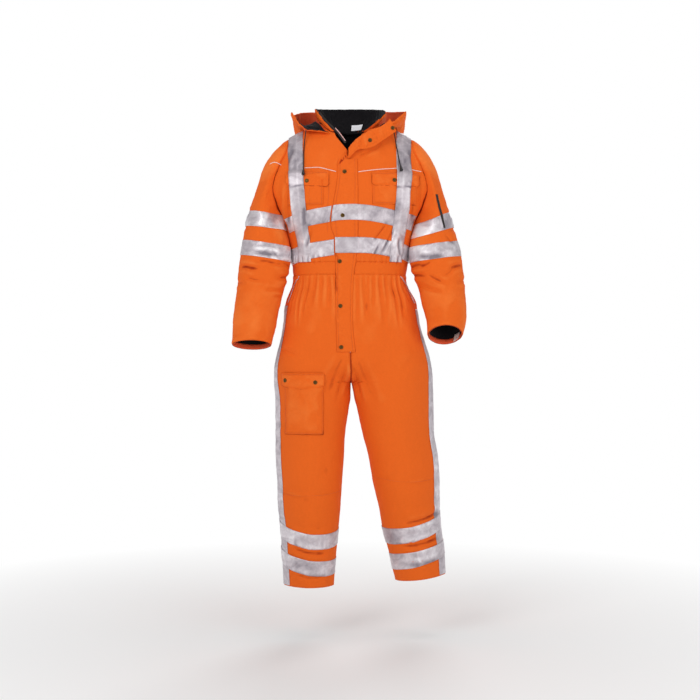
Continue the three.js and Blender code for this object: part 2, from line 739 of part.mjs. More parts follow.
// Hood: smooth sections from the neck seam down into the pouch and up to the rim
const hoodSteps = 6;
const hoodColumns = hoodSections.map((section) => {
  const curve = new THREE.CatmullRomCurve3(section.map((place) => new THREE.Vector3(...place)));
  return curve.getPoints(hoodSteps);
});
const hoodGrid = steps(0, hoodSteps, hoodSteps).map((i) => hoodColumns.map((column) => column[i]));
addMesh('hood', shellGeometry(hoodGrid, wall, -1), colours.cloth);
const hoodLiningGrid = lifted(hoodGrid, -1, -(wall + 3 * liningGap)).slice(1, hoodSteps);
addMesh('hood_lining', shellGeometry(hoodLiningGrid, liningThick, -1), colours.lining);

// Placket over the front zip, from the V of the neck to the crotch
const placketLevels = [
  -696, -640, -580, -530, -490, -455, -420, -385, -345, -305, -270, -235, -205, -175, -145, -115, -88,
];
const placketGrid = frontGrid([0, 0.5, 1], placketLevels, (across, z) => {
  const free = column(placketRows, 'z', z, 'free');
  const stitched = column(placketRows, 'z', z, 'stitched');
  return onFront(mix(free, stitched, across), z);
});
addOverlay('placket', placketGrid, 1, liftPlain, placketThick, colours.cloth);

// Top end of the storm flap, folded outward over the wearer's left front
const flapEndGrid = flapEndRows.map((row) => [0, 0.5, 1].map((down) => {
  const fold = new THREE.Vector3(row.foldX, row.foldY, row.foldZ);
  const free = new THREE.Vector3(row.freeX, row.freeY, row.freeZ);
  const point = fold.lerp(free, down);
  point.y -= 5 * Math.sin(down * Math.PI);
  return point;
}));
addMesh('flap_end', shellGeometry(flapEndGrid, wall, 1), colours.cloth);

// Open zip along the wearer's right edge of the V, with the pale tape beside it
const openingPath = [
  torsoGrids.right[topRow][0].clone().lerp(torsoGrids.right[topRow][1], 0.35),
  torsoGrids.right[topRow][1],
  collarGrid[1][0],
  collarGrid[1][0].clone().lerp(collarGrid[2][0], 0.8),
];
function openingStrip(name, from, to, colour) {
  const grid = openingPath.map((point, i) => {
    const before = openingPath[Math.max(0, i - 1)];
    const after = openingPath[Math.min(openingPath.length - 1, i + 1)];
    const along = after.clone().sub(before).normalize();
    const away = new THREE.Vector3(along.z, 0, -along.x).normalize();
    return [from, to].map((distance) => point.clone().addScaledVector(away, distance));
  });
  addMesh(name, shellGeometry(grid, 1, 1), colour);
}
openingStrip('front_zip', 6, 10.4, colours.zip);
openingStrip('zip_facing', 11, 13.6, colours.tape);

// Chest pockets and their flaps
const chestPockets = {
  right: { left: -198, right: -84, top: -150, bottom: -234 },
  left: { left: 70, right: 210, top: -150, bottom: -232 },
};
const chestFlaps = {
  right: { left: -203, right: -66, top: -129, bottomInner: -178, bottomOuter: -170 },
  left: { left: 68, right: 222, top: -131, bottomInner: -174, bottomOuter: -174 },
};
for (const side of sides) {
  const bag = chestPockets[side];
  const bagGrid = frontGrid(steps(bag.left, bag.right, 6), steps(bag.bottom, bag.top, 4),
    (x, z) => onTrunk(x, z, -1));
  addOverlay(`chest_pocket_${side}`, bagGrid, 1, liftPlain, pocketThick, colours.cloth);
  const flap = chestFlaps[side];
  const flapGrid = frontGrid(steps(flap.left, flap.right, 6), [0, 0.5, 1], (x, up) => {
    const inward = (Math.abs(x) - 66) / 160;
    const bottom = mix(flap.bottomInner, flap.bottomOuter, clamp(inward, 0, 1));
    return onTrunk(x, mix(bottom, flap.top, up), -1);
  });
  addOverlay(`chest_flap_${side}`, flapGrid, 1, liftOverPocket, flapThick, colours.cloth);
}

// Thigh pocket and its flap on the wearer's right leg
const thighBagGrid = frontGrid(steps(-206, -84, 5), steps(-958, -786, 4), onFront);
addOverlay('thigh_pocket', thighBagGrid, 1, liftThigh, pocketThick, colours.cloth);
const thighFlapGrid = frontGrid(steps(-214, -82, 5), [0, 0.5, 1], (x, up) => {
  const bottom = -814 + 12 * Math.abs((x + 148) / 66) ** 3;
  return onFront(x, mix(bottom, -763, up));
});
addOverlay('thigh_flap', thighFlapGrid, 1, liftThighFlap, flapThick, colours.cloth);

// Reflective braces: up the front, over the shoulder and down the back
const braceFront = [
  { z: -411, lift: liftOverTape },
  { z: -378, lift: liftOverTape },
  { z: -342, lift: liftOverTape },
  { z: -314, lift: liftOverTape },
  { z: -290, lift: liftOverTape },
  { z: -262, lift: liftOverTape },
  { z: -240, lift: liftOverPocket },
  { z: -212, lift: liftOverPocket },
  { z: -186, lift: liftOverPocket },
  { z: -178, lift: liftOverFlap },
  { z: -152, lift: liftOverFlap },
  { z: -123, lift: liftOverFlap },
  { z: -114, lift: liftPlain },
  { z: -95, lift: liftPlain },
  { z: -72, lift: liftPlain },
  { z: -52, lift: liftPlain },
  { z: -34, lift: liftPlain },
  { z: -19, lift: liftPlain },
  { z: -7, lift: liftPlain },
  { z: 2, lift: liftPlain },
];
const braceBack = [
  { z: 2, lift: liftPlain },
  { z: -7, lift: liftPlain },
  { z: -19, lift: liftPlain },
  { z: -34, lift: liftPlain },
  { z: -52, lift: liftPlain },
  { z: -74, lift: liftPlain },
  { z: -100, lift: liftPlain },
  { z: -130, lift: liftPlain },
  { z: -165, lift: liftPlain },
  { z: -200, lift: liftPlain },
  { z: -235, lift: liftPlain },
  { z: -248, lift: liftOverTape },
  { z: -272, lift: liftOverTape },
  { z: -300, lift: liftOverTape },
  { z: -335, lift: liftOverTape },
  { z: -372, lift: liftOverTape },
  { z: -408, lift: liftOverTape },
];
for (const side of sides) {
  const stations = braceFront.map((row) => ({ ...row, face: -1 }))
    .concat([{ face: 0, z: 0, lift: liftPlain }])
    .concat(braceBack.map((row) => ({ ...row, face: 1 })));
  const grid = stations.map(({ z, face }) => [0, 0.5, 1].map((across) => {
    const inner = column(braceRows[side], 'z', z, 'inner');
    const outer = column(braceRows[side], 'z', z, 'outer');
    const x = signs[side] * mix(inner, outer, across);
    if (face === 0) return new THREE.Vector3(x, 0, shoulderZ(x));
    const middleTop = shoulderZ((inner + outer) / 2);
    const high = clamp((z - chestZ) / (middleTop - chestZ), 0, 1);
    return onTrunk(x, z + (shoulderZ(x) - middleTop) * high, face);
  }));
  const lift = (_, i) => stations[i].lift;
  addOverlay(`brace_${side}`, grid, signs[side], lift, tapeThick, colours.tape);
}

// Upper torso band: one piece on each front and one on the back, ending at the armholes
const halfTape = tapeWidth / 2;
function overPlacket(x) {
  return x > -59 && x < 31;
}
function bandLift(point) {
  return overPlacket(point.x) && point.y < 0 ? liftOverPlacket : liftPlain;
}
const edgeMargin = 7;
const upperColumns = {
  right: [0, 0.025, 0.07, 0.15, 0.26, 0.4, 0.55, 0.7, 0.85, 1],
  left: [0, 0.1, 0.2, 0.29, 0.31, 0.42, 0.53, 0.64, 0.74, 0.83, 0.91, 0.96, 0.985, 1],
};
for (const side of sides) {
  const middleZ = -258;
  const grid = frontGrid(upperColumns[side], [-1, 0, 1], (across, up) => {
    const middle = column(upperBandRows, 'x', signs[side] * 205, 'z');
    const edge = signs[side] * (panelEdge(middle + up * halfTape, side) - edgeMargin);
    const free = column(placketRows, 'z', middleZ + up * halfTape, 'free');
    const x = side === 'right' ? mix(edge, free - 4, across) : mix(free + 1, edge, across);
    return onTrunk(x, column(upperBandRows, 'x', x, 'z') + up * halfTape, -1);
  });
  addOverlay(`band_upper_${side}`, grid, 1, bandLift, tapeThick, colours.tape);
}
const backHalf = [1, 0.985, 0.96, 0.91, 0.84, 0.74, 0.62, 0.47, 0.3, 0.12];
const backAcross = backHalf.map((across) => -across).concat(backHalf.slice().reverse());
const upperBackGrid = [-1, 0, 1].map((up) => backAcross.map((across) => {
  const z = bandBackZ.upper + up * halfTape;
  return onTrunk(-across * (panelEdge(z, 'left') - edgeMargin), z, 1);
}));
addOverlay('band_upper_back', upperBackGrid, 1, liftPlain, tapeThick, colours.tape);

// Lower torso band: from the placket's free edge round the back to the same edge
const lowerStart = -0.197;
const lowerEnd = 2 * Math.PI - 0.216;
const lowerAngles = [lowerStart, -0.06, 0.14, 0.17].concat(steps(0.28, 2 * Math.PI - 0.4, 30))
  .concat(lowerEnd);
const lowerGrid = [-1, 1].map((up) => lowerAngles.map((angle) => {
  const x = ringPoint(angle, bandBackZ.lower).x;
  let middle = bandBackZ.lower;
  if (Math.cos(angle) > 0) {
    const rows = angle < Math.PI ? lowerBandLeftRows : lowerBandRows;
    middle = column(rows, 'x', x, 'z');
  }
  return ringPoint(angle, middle + up * halfTape);
}));
const lowerLift = (point, i, j) => (j < 3 ? liftOverPlacket : liftPlain);
addOverlay('band_lower', lowerGrid, 1, lowerLift, tapeThick, colours.tape);

// How far round the leg from the side seam the side stripe reaches, as a turn
function stripeTurn(side, z) {
  const fine = 60;
  let length = 0;
  let before = trouserPoint(side, -1, 1, z);
  for (let n = 1; n < fine; n += 1) {
    const next = trouserPoint(side, -1, 1 - n / fine, z);
    length += next.distanceTo(before);
    if (length > tapeWidth - 4) return 1 - n / fine;
    before = next;
  }
  return 0;
}

// Reflective side stripes from the hip to the hem, in front of the side seams
const stripeTopZ = { right: -548, left: -560 };
const sideColumn = trouserTurns[trouserTurns.length - 2];
for (const side of sides) {
  const between = trouserLevels.filter((z) => z < stripeTopZ[side] - 5);
  const levels = [stripeTopZ[side]].concat(between, hemZ[side] + 3).reverse();
  const grid = levels.map((z) => [stripeTurn(side, z), sideColumn, 1]
    .map((turn) => onTrousers(side, -1, turn, z)));
  addOverlay(`stripe_${side}`, grid, signs[side], liftLimb, tapeThick, colours.tape);
}

// Reflective bands round the legs, over the side stripes
for (const side of sides) {
  for (const band of legBands[side]) {
    const inner = stripeTurn(side, band.side);
    const front = trouserTurns.slice(0, -2).concat(inner - 0.03, sideColumn, 1);
    const ring = front.map((turn) => ({ face: -1, turn }))
      .concat(trouserTurns.slice(1, -1).reverse().map((turn) => ({ face: 1, turn })));
    const grid = [-1, 1].map((up) => ring.map(({ face, turn }) => {
      const far = face < 0 ? band.front : band.back;
      const bend = 4 * turn * (1 - turn);
      const straight = mix(band.inseam, band.side, turn);
      const middle = straight + bend * (far - (band.inseam + band.side) / 2);
      return onTrousers(side, face, turn, middle + up * halfTape);
    }));
    const overStripe = (j) => j >= front.length - 3 && j < front.length;
    const lift = (_, i, j) => (overStripe(j) ? liftOverStripe : liftLimb);
    addOverlay(`leg_band_${band.name}_${side}`, grid, signs[side], lift, tapeThick,
      colours.tape, true);
  }
}

// Place on one of a sleeve's own lines at a height
function onSleeve(side, j, z) {
  const line = sleeves[side].grid.map((row) => row[j]);
  let i = 0;
  while (i < line.length - 2 && line[i + 1].z > z) i += 1;
  return line[i].clone().lerp(line[i + 1], (z - line[i].z) / (line[i + 1].z - line[i].z));
}

// Reflective bands round the sleeves. The upper ones are above the underarm, so they end at the
// armhole seam, a little short of it. Their middle row follows a row of the sleeve where one
// lies under the tape.
const bandGap = 4;
for (const side of sides) {
  const { angles, grid: sleeve } = sleeves[side];
  for (const band of sleeveBands[side]) {
    const turned = angles.map((angle, j) => ({ angle, j }));
    const covered = !band.reach ? turned
      : turned.filter(({ angle }) => angle >= 2 * Math.PI - band.reach)
        .concat(turned.filter(({ angle }) => angle <= band.reach));
    const grid = [1, 0, -1].map((up) => covered.map(({ angle, j }) => {
      const middle = mix(band.inner, band.outer, (1 + Math.cos(angle)) / 2);
      const seamZ = sleeve[0][j].z - bandGap;
      const heights = sleeve.map((row) => row[j].z);
      const under = heights.filter((z) => Math.abs(z - middle) < halfTape - 4);
      const bend = under.length === 1 && under[0] < seamZ - 4 ? under[0] : middle;
      if (!band.reach) return onSleeve(side, j, up === 0 ? bend : middle + up * halfTape);
      const top = Math.min(middle + halfTape, seamZ);
      const rest = { 1: top, 0: Math.min(bend, (top + middle - halfTape) / 2 + 4), '-1': middle - halfTape };
      return onSleeve(side, j, rest[up]);
    }));
    addOverlay(`sleeve_band_${band.name}_${side}`, grid, signs[side], liftSleeve, tapeThick,
      colours.tape, !band.reach);
  }
}

// Cuff linings, the black cloth that shows inside the open cuffs
const cuffRows = 2;
for (const side of sides) {
  const { grid } = sleeves[side];
  const inside = lifted(grid, signs[side], -(wall + liningGap), true).slice(-cuffRows);
  const geometry = shellGeometry(inside, liningThick, signs[side], true);
  addMesh(`cuff_lining_${side}`, geometry, colours.lining);
}

// Place on the front of the wearer's left sleeve at a place in the front view
function onLeftSleeve(x, z) {
  const low = sleeves.left.angles.findIndex((angle) => angle >= Math.PI);
  let j = 0;
  while (j < low - 1 && onSleeve('left', j + 1, z).x > x) j += 1;
  const a = onSleeve('left', j, z);
  const b = onSleeve('left', j + 1, z);
  return a.lerp(b, clamp((x - a.x) / (b.x - a.x), 0, 1));
}

// Zip of the pocket on the wearer's left upper sleeve, from its top to its bottom end
const sleeveZip = { topX: 275, topZ: -196, bottomX: 299, bottomZ: -303, width: 6 };
const zipGrid = steps(0, 1, 4).map((down) => [0, 1].map((across) => {
  const x = mix(sleeveZip.topX, sleeveZip.bottomX, down) + (across - 0.5) * sleeveZip.width;
  return onLeftSleeve(x, mix(sleeveZip.topZ, sleeveZip.bottomZ, down));
}));
addOverlay('sleeve_zip', zipGrid, -1, liftOverTape, 1.5, colours.zip);

// Small tab on the lining inside the back of the wearer's left cuff
const tabRise = -(wall + 2 * liningGap + liningThick);
const tabInside = lifted(sleeves.left.grid, 1, tabRise, true);
const tabColumn = 17;
const tabLast = tabInside.length - 1;
const tabGrid = [0.7, 1].map((down) => [0, 0.6].map((across) => {
  const low = tabInside[tabLast - 1][tabColumn].clone();
  low.lerp(tabInside[tabLast - 1][tabColumn + 1], across);
  const high = tabInside[tabLast][tabColumn].clone();
  high.lerp(tabInside[tabLast][tabColumn + 1], across);
  return low.lerp(high, down);
}));
addMesh('cuff_tab', shellGeometry(tabGrid, 1, 1), colours.tape);

// Press-stud caps
const capRadius = 6.5;
const capHeight = 2.4;
const capProfile = [
  new THREE.Vector2(0, 0),
  new THREE.Vector2(capRadius, 0),
  new THREE.Vector2(capRadius, capHeight * 0.45),
  new THREE.Vector2(capRadius * 0.6, capHeight),
  new THREE.Vector2(0, capHeight),
];
const capSides = 8;
function addSnap(name, place, normal, rise) {
  const mesh = addMesh(name, new THREE.LatheGeometry(capProfile, capSides), colours.snap, 0.4, 0.8);
  mesh.quaternion.setFromUnitVectors(new THREE.Vector3(0, 1, 0), normal);
  mesh.position.copy(place).addScaledVector(normal, rise);
}

function frontNormal(x, z) {
  const across = onFront(x + 6, z).sub(onFront(x - 6, z));
  const up = onFront(x, z + 6).sub(onFront(x, z - 6));
  return across.cross(up).normalize();
}

const snapRise = 0.4;
const snaps = [
  { name: 'placket_1', x: -17, z: -130, under: liftPlain + placketThick },
  { name: 'placket_2', x: -23, z: -268, under: liftOverPlacket + tapeThick },
  { name: 'placket_3', x: -32, z: -411, under: liftPlain + placketThick },
  { name: 'placket_4', x: -30, z: -552, under: liftPlain + placketThick },
  { name: 'placket_5', x: -27, z: -681, under: liftPlain + placketThick },
  { name: 'chest_right', x: -135, z: -158, under: liftOverPocket + flapThick },
  { name: 'chest_left', x: 139, z: -156, under: liftOverPocket + flapThick },
  { name: 'thigh_1', x: -200, z: -786, under: liftThighFlap + flapThick - 1 },
  { name: 'thigh_2', x: -110, z: -794, under: liftThighFlap + flapThick - 0.6 },
];
for (const snap of snaps) {
  const normal = frontNormal(snap.x, snap.z);
  addSnap(`snap_${snap.name}`, onFront(snap.x, snap.z), normal, snap.under + snapRise);
}
for (const [name, row, down] of [['flap_1', 3, 0.62], ['flap_2', 6, 0.75]]) {
  const place = flapEndGrid[row][1].clone().lerp(flapEndGrid[row][2], down * 2 - 1);
  place.lerp(flapEndGrid[row - 1][1], 0.3);
  const normal = gridNormal(flapEndGrid, row, 1, false);
  addSnap(`snap_${name}`, place, normal, 1.7);
}

// Hood drawcords: from the hood's front ends down over the chest, each with a small cord end
const cordRadius = 1.7;
const cordSides = 8;
const cordSteps = 16;
const cords = {
  right: [
    [-140.3, -66.3, 9.6],
    [-143, -68, -12],
    [-145.5, -72.8, -38],
    [-147, -82.2, -62],
    [-147, -96.6, -93],
    [-147, -103.2, -108],
    [-147, -111.3, -121],
  ],
  left: [
    [133.6, -66.3, 28.4],
    [139, -67.6, 8],
    [143.5, -68.8, -15],
    [147.5, -72, -40],
    [151, -80.4, -60],
    [155.5, -91.6, -88],
    [159, -102.5, -107],
  ],
};
const cordSection = new THREE.Shape();
for (let n = 0; n < cordSides; n += 1) {
  const angle = 2 * Math.PI * n / cordSides;
  const corner = [cordRadius * Math.cos(angle), cordRadius * Math.sin(angle)];
  if (n === 0) cordSection.moveTo(...corner);
  else cordSection.lineTo(...corner);
}
const cordEndProfile = [
  new THREE.Vector2(0, 0),
  new THREE.Vector2(5, 0),
  new THREE.Vector2(5.5, 3),
  new THREE.Vector2(2.6, 20),
  new THREE.Vector2(0, 20),
];
for (const side of sides) {
  const points = cords[side].map((place) => new THREE.Vector3(...place));
  const path = new THREE.CatmullRomCurve3(points);
  const geometry = new THREE.ExtrudeGeometry(cordSection, {
    steps: cordSteps, extrudePath: path, bevelEnabled: false,
  });
  addMesh(`cord_${side}`, geometry, colours.cord);
  const last = points[points.length - 1];
  const along = path.getTangent(1);
  const end = addMesh(`cord_end_${side}`, new THREE.LatheGeometry(cordEndProfile, 10), colours.cord);
  end.quaternion.setFromUnitVectors(new THREE.Vector3(0, -1, 0), along);
  end.position.copy(last).addScaledVector(along, 20 + seamGap);
}

export default group;
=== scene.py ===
import math

import bpy
import numpy as np
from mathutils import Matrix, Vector


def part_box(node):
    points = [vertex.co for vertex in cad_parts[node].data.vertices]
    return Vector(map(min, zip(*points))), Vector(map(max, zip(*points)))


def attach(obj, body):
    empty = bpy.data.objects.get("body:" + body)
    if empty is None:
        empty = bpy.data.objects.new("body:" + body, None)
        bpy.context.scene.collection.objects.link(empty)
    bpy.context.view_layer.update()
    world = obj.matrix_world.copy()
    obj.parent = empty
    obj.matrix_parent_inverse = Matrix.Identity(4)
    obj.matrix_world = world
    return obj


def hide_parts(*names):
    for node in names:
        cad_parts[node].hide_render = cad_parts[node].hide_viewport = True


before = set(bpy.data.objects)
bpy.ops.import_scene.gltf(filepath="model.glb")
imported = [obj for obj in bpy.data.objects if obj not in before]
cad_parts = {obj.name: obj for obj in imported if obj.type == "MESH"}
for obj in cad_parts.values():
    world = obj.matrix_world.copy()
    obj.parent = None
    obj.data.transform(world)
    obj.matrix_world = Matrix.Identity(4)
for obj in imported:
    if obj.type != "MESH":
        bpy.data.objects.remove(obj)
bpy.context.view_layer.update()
scene = bpy.context.scene

# Everything below is worked out in millimetres in the frame's own axes and stored in metres.
mm = 0.001

# Camera: level with the middle of the picture, straight in front
camera = {"distance": 4.0, "height": -0.69, "lens": 63.5, "sensor": 36.0}


def addCamera():
    data = bpy.data.cameras.new("camera")
    data.lens = camera["lens"]
    data.sensor_width = camera["sensor"]
    data.clip_end = 30
    eye = bpy.data.objects.new("camera", data)
    eye.location = (0, -camera["distance"], camera["height"])
    eye.rotation_euler = (math.pi / 2, 0, 0)
    scene.collection.objects.link(eye)
    scene.camera = eye


addCamera()


# Tables and small maths

# Named columns of a table, its rows in rising order of the first column
def table(names, rows):
    data = np.array(sorted(rows), float)
    return {name: data[:, k] for k, name in enumerate(names.split())}


# Smooth value of one column along the table's first column: cubic pieces whose slopes are taken
# across each point's two neighbours.
def column(rows, name, at):
    key = next(iter(rows))
    x, y = rows[key], rows[name]
    last = len(x) - 1
    place = np.clip(np.asarray(at, float), x[0], x[-1])
    i = np.clip(np.searchsorted(x, place, side="left") - 1, 0, last - 1)
    low, high = np.maximum(np.arange(last + 1) - 1, 0), np.minimum(np.arange(last + 1) + 1, last)
    slope = (y[high] - y[low]) / (x[high] - x[low])
    step = x[i + 1] - x[i]
    t = (place - x[i]) / step
    return ((2 * t**3 - 3 * t**2 + 1) * y[i] + (t**3 - 2 * t**2 + t) * step * slope[i]
            + (3 * t**2 - 2 * t**3) * y[i + 1] + (t**3 - t**2) * step * slope[i + 1])


# Smooth line through points: every coordinate is a column over the points' own count
def through(points, count):
    points = np.asarray(points, float)
    rows = {"t": np.arange(len(points), dtype=float)}
    rows.update({str(k): points[:, k] for k in range(points.shape[1])})
    at = np.linspace(0, len(points) - 1, count)
    return np.stack([column(rows, str(k), at) for k in range(points.shape[1])], -1)


# Straight blend from a to b as t goes from 0 to 1
def mix(a, b, t):
    return a + (b - a) * t


# Soft step: three t squared less two t cubed, level at 0 and at 1
def smooth(t):
    t = np.clip(t, 0, 1)
    return t * t * (3 - 2 * t)


# Vectors divided by their lengths
def unit(v):
    return v / np.maximum(np.linalg.norm(v, axis=-1, keepdims=True), 1e-9)


def xyz(x, y, z):
    return np.stack(np.broadcast_arrays(x, y, z), -1).astype(float)


# Soft unevenness: a seeded sum of waves in random directions, bent by one another
def unevenness(x, z, size, seed):
    rng = np.random.default_rng(seed)
    total = np.zeros(np.broadcast(x, z).shape)
    bend = 0.0
    for n in range(7):
        turn, phase = rng.uniform(0, math.pi), rng.uniform(0, 2 * math.pi)
        length = size * rng.uniform(0.7, 1.5)
        along = (x * math.cos(turn) + z * math.sin(turn)) * 2 * math.pi / length
        wave = np.sin(along + phase + bend)
        bend = 1.4 * wave
        total = total + wave
    return total / 4.5


# Crumple: creases where seeded waves pass through zero, flat between them
def crumple(x, z, size, seed):
    first = unevenness(x, z, size, seed)
    second = unevenness(x, z, size * 0.6, seed + 1)
    return np.minimum(np.abs(first), 0.5) + 0.6 * np.minimum(np.abs(second), 0.4) - 0.4


foldSet = {"pieces": 8, "fade": 0.3, "rim": 0.45, "rimAt": 2.1}


# Folds: each row is a soft trough along a bent line. depth is positive for a trough and negative for
# a ridge, and the cloth beside a trough stands up a little. The line's two ends fade out.
def folds(u, v, rows):
    pieces = foldSet["pieces"]
    total = np.zeros(np.broadcast(u, v).shape)
    for (u0, v0), (u1, v1), (u2, v2), width, depth in rows:
        t = np.linspace(0, 1, pieces + 1)
        pu = (1 - t)**2 * u0 + 2 * t * (1 - t) * u1 + t**2 * u2
        pv = (1 - t)**2 * v0 + 2 * t * (1 - t) * v1 + t**2 * v2
        near = np.full(total.shape, 1e9)
        where = np.zeros(total.shape)
        for k in range(pieces):
            du, dv = pu[k + 1] - pu[k], pv[k + 1] - pv[k]
            s = np.clip(((u - pu[k]) * du + (v - pv[k]) * dv) / (du * du + dv * dv), 0, 1)
            away = np.hypot(u - pu[k] - s * du, v - pv[k] - s * dv)
            closer = away < near
            near = np.where(closer, away, near)
            where = np.where(closer, (k + s) / pieces, where)
        fade = smooth(where / foldSet["fade"]) * smooth((1 - where) / foldSet["fade"])
        across = near / width
        rim = foldSet["rim"] * np.exp(-(across - foldSet["rimAt"])**2)
        total = total - depth * fade * (np.exp(-across**2) - rim)
    return total


# The suit's sizes, in millimetres
chestZ, underarmZ, bandTopZ, bandBottomZ = -230, -290, -412, -450
crotchTopZ, crotchZ, slowTopZ, slowBottomZ = -700, -794, -620, -900
shoulderTipX, neckHalf, openingHalf = 196, 92, 45
shoulderPeakZ, shoulderDrop = 55, 0.0016
trunkRound, outerLegRound, innerLegRound = 2.3, 1.55, 2
tapeWidth = 49
halfTape = tapeWidth / 2
sides = ("right", "left")
signs = {"right": -1, "left": 1}
hemZ = {"right": -1450, "left": -1424}
hemTilt, hemTiltTopZ = {"right": 0, "left": 0.117}, -1250
sleeveTopZ, sleeveDown = -330, 300

trunkTable = table("z right left front back", [
    (60, 232, 232, 120, 108),
    (-6, 236, 236, 121, 110),
    (-50, 244, 244, 122, 112),
    (-98, 264, 264, 124, 116),
    (-146, 272, 272, 127, 119),
    (-185, 268, 268, 129, 121),
    (-229, 244, 244, 130, 121),
    (-262, 220, 220, 129, 119),
    (-290, 205, 205, 128, 117),
    (-340, 193, 194, 124, 112),
    (-405, 188, 188, 118, 106),
    (-476, 184, 182, 116, 105),
    (-535, 205, 210, 121, 120),
    (-612, 215, 226, 126, 134),
    (-690, 230, 246, 127, 140),
    (-748, 243, 261, 126, 138),
    (-794, 245, 267, 124, 134),
    (-900, 240, 270, 112, 122),
])
armholeTable = table("z out", [
    (10, 193), (-6, 196), (-50, 203), (-98, 224), (-146, 240),
    (-185, 245), (-229, 232), (-262, 216), (-290, 205),
])
# Outer and inner side of each leg by height, then the depths that both legs have
legEdges = {
    "right": [(-794, -245, 2), (-850, -240, 0), (-962, -240, -16), (-1040, -239, -20),
              (-1118, -234, -26), (-1196, -232, -31), (-1273, -224, -38), (-1351, -220, -45),
              (-1450, -214, -52)],
    "left": [(-794, 267, 5), (-850, 269, 16), (-962, 272, 42), (-1040, 284, 62), (-1118, 288, 75),
             (-1196, 289, 93), (-1273, 295, 107), (-1351, 305, 130), (-1430, 310, 147)],
}
legDepths = [(118, 124, 2), (112, 118, 2), (102, 108, 0), (97, 100, -4), (94, 92, -6), (89, 86, -2),
             (82, 80, 4), (76, 75, 8), (72, 72, 10)]
legTable = {side: table("z outer inner front back middle",
                        [edges + depths for edges, depths in zip(legEdges[side], legDepths)])
            for side in sides}
sleeveTable = {
    "right": table("z outer inner y depth tilt", [
        (-330, 343, 205, -24, 74, 0),
        (-385, 350, 190, -40, 72, 2),
        (-440, 357, 196, -48, 70, 5),
        (-500, 361, 211, -56, 68, 8),
        (-560, 368, 225, -66, 64, 11),
        (-620, 372, 236, -78, 60, 14),
        (-674, 374, 250, -92, 56, 16),
    ]),
    "left": table("z outer inner y depth tilt", [
        (-330, 343, 205, -24, 74, 0),
        (-385, 356, 190, -40, 72, 3),
        (-440, 362, 197, -50, 70, 8),
        (-495, 367, 219, -62, 68, 14),
        (-550, 369, 230, -78, 65, 20),
        (-600, 366, 241, -98, 62, 26),
        (-642, 354, 244, -118, 60, 31),
    ]),
}


# Shapes of the trunk and trousers

# Shoulder line: it drops with the square of the distance from the middle
def shoulderZ(x):
    return shoulderPeakZ - shoulderDrop * x * x


# The front's middle line, which leans a little to the wearer's right
def centreX(z):
    return -6 - 9 * z / 794


# Depth of the trunk at a place in the front view: a rounded ellipse across, and a quarter ellipse
# from the chest up to the shoulder line.
def trunkY(x, z, face):
    half = np.where(x < 0, column(trunkTable, "right", z), column(trunkTable, "left", z))
    depth = column(trunkTable, "front" if face < 0 else "back", z)
    across = np.minimum(1, np.abs(x) / half)
    up = np.clip((z - chestZ) / (shoulderZ(x) - chestZ), 0, 1)
    return face * depth * (1 - across**trunkRound)**(1 / trunkRound) * np.sqrt(1 - up * up)


# Share of the leg's section: a quarter circle at the centre seam, a slow blend farther out
def legShare(turn, z):
    down = np.clip((crotchTopZ - z) / (crotchTopZ - crotchZ), 0, 1)
    slow = smooth((slowTopZ - z) / (slowTopZ - slowBottomZ))
    return mix(1 - np.sqrt(1 - down * down), slow, smooth(turn / 0.5))


# Trousers: the trunk's section mixed into the leg's, with the turn from 0 at the centre seam or
# inseam to 1 at the side seam.
def trousers(side, face, turn, z):
    turn, z = np.broadcast_arrays(np.asarray(turn, float), np.asarray(z, float))
    angle = turn * math.pi / 2
    rows = legTable[side]
    x = mix(centreX(z), signs[side] * column(trunkTable, side, z), np.sin(angle)**(2 / trunkRound))
    y = np.where(turn > 0.9999, 0, trunkY(x, z, face))
    outer, inner = column(rows, "outer", z), column(rows, "inner", z)
    cosine = np.cos(2 * angle)
    power = 2 / np.where(cosine > 0, innerLegRound, outerLegRound)
    legX = (outer + inner) / 2 - (outer - inner) / 2 * np.sign(cosine) * np.abs(cosine)**power
    depth = column(rows, "front" if face < 0 else "back", z)
    legY = column(rows, "middle", z) + face * depth * np.maximum(0, np.sin(2 * angle))**power
    share = legShare(turn, z)
    x, y = mix(x, legX, share), mix(y, legY, share)
    tilt = hemTilt[side] * np.clip((hemTiltTopZ - z) / (hemTiltTopZ - hemZ[side]), 0, 1)
    return xyz(x, y, z + tilt * (x - (outer + inner) / 2))


# The turn at which the trousers reach x, found by halving
def turnAt(side, face, x, z):
    low, high = np.zeros(np.shape(x)), np.ones(np.shape(x))
    for _ in range(24):
        middle = (low + high) / 2
        beyond = signs[side] * (trousers(side, face, middle, z)[..., 0] - x) > 0
        low, high = np.where(beyond, low, middle), np.where(beyond, middle, high)
    return low


# Points of the trousers, or of the trunk, over places in the front view
def onLeg(side, x, z, face=-1):
    x, z = np.broadcast_arrays(np.asarray(x, float), np.asarray(z, float))
    return trousers(side, face, turnAt(side, face, x, z), z)


def onTrunk(x, z, face=-1):
    x, z = np.broadcast_arrays(np.asarray(x, float), np.asarray(z, float))
    return xyz(x, trunkY(x, z, face), z)


print("sizes ready")


# Surface pieces

# Normals of a grid: the cross product of its two directions
def gridNormals(points, closed=False):
    if closed:
        across = np.roll(points, -1, 1) - np.roll(points, 1, 1)
    else:
        across = np.gradient(points, axis=1)
    return unit(np.cross(across, np.gradient(points, axis=0)))


# Normals that look away from the body: towards a given direction, or out from a loop's middle
def outward(points, toward, closed=False):
    normals = gridNormals(points, closed)
    if isinstance(toward, str):
        toward = points - points.mean(1, keepdims=True)
    return normals * np.sign(np.sum(normals * np.asarray(toward, float)))


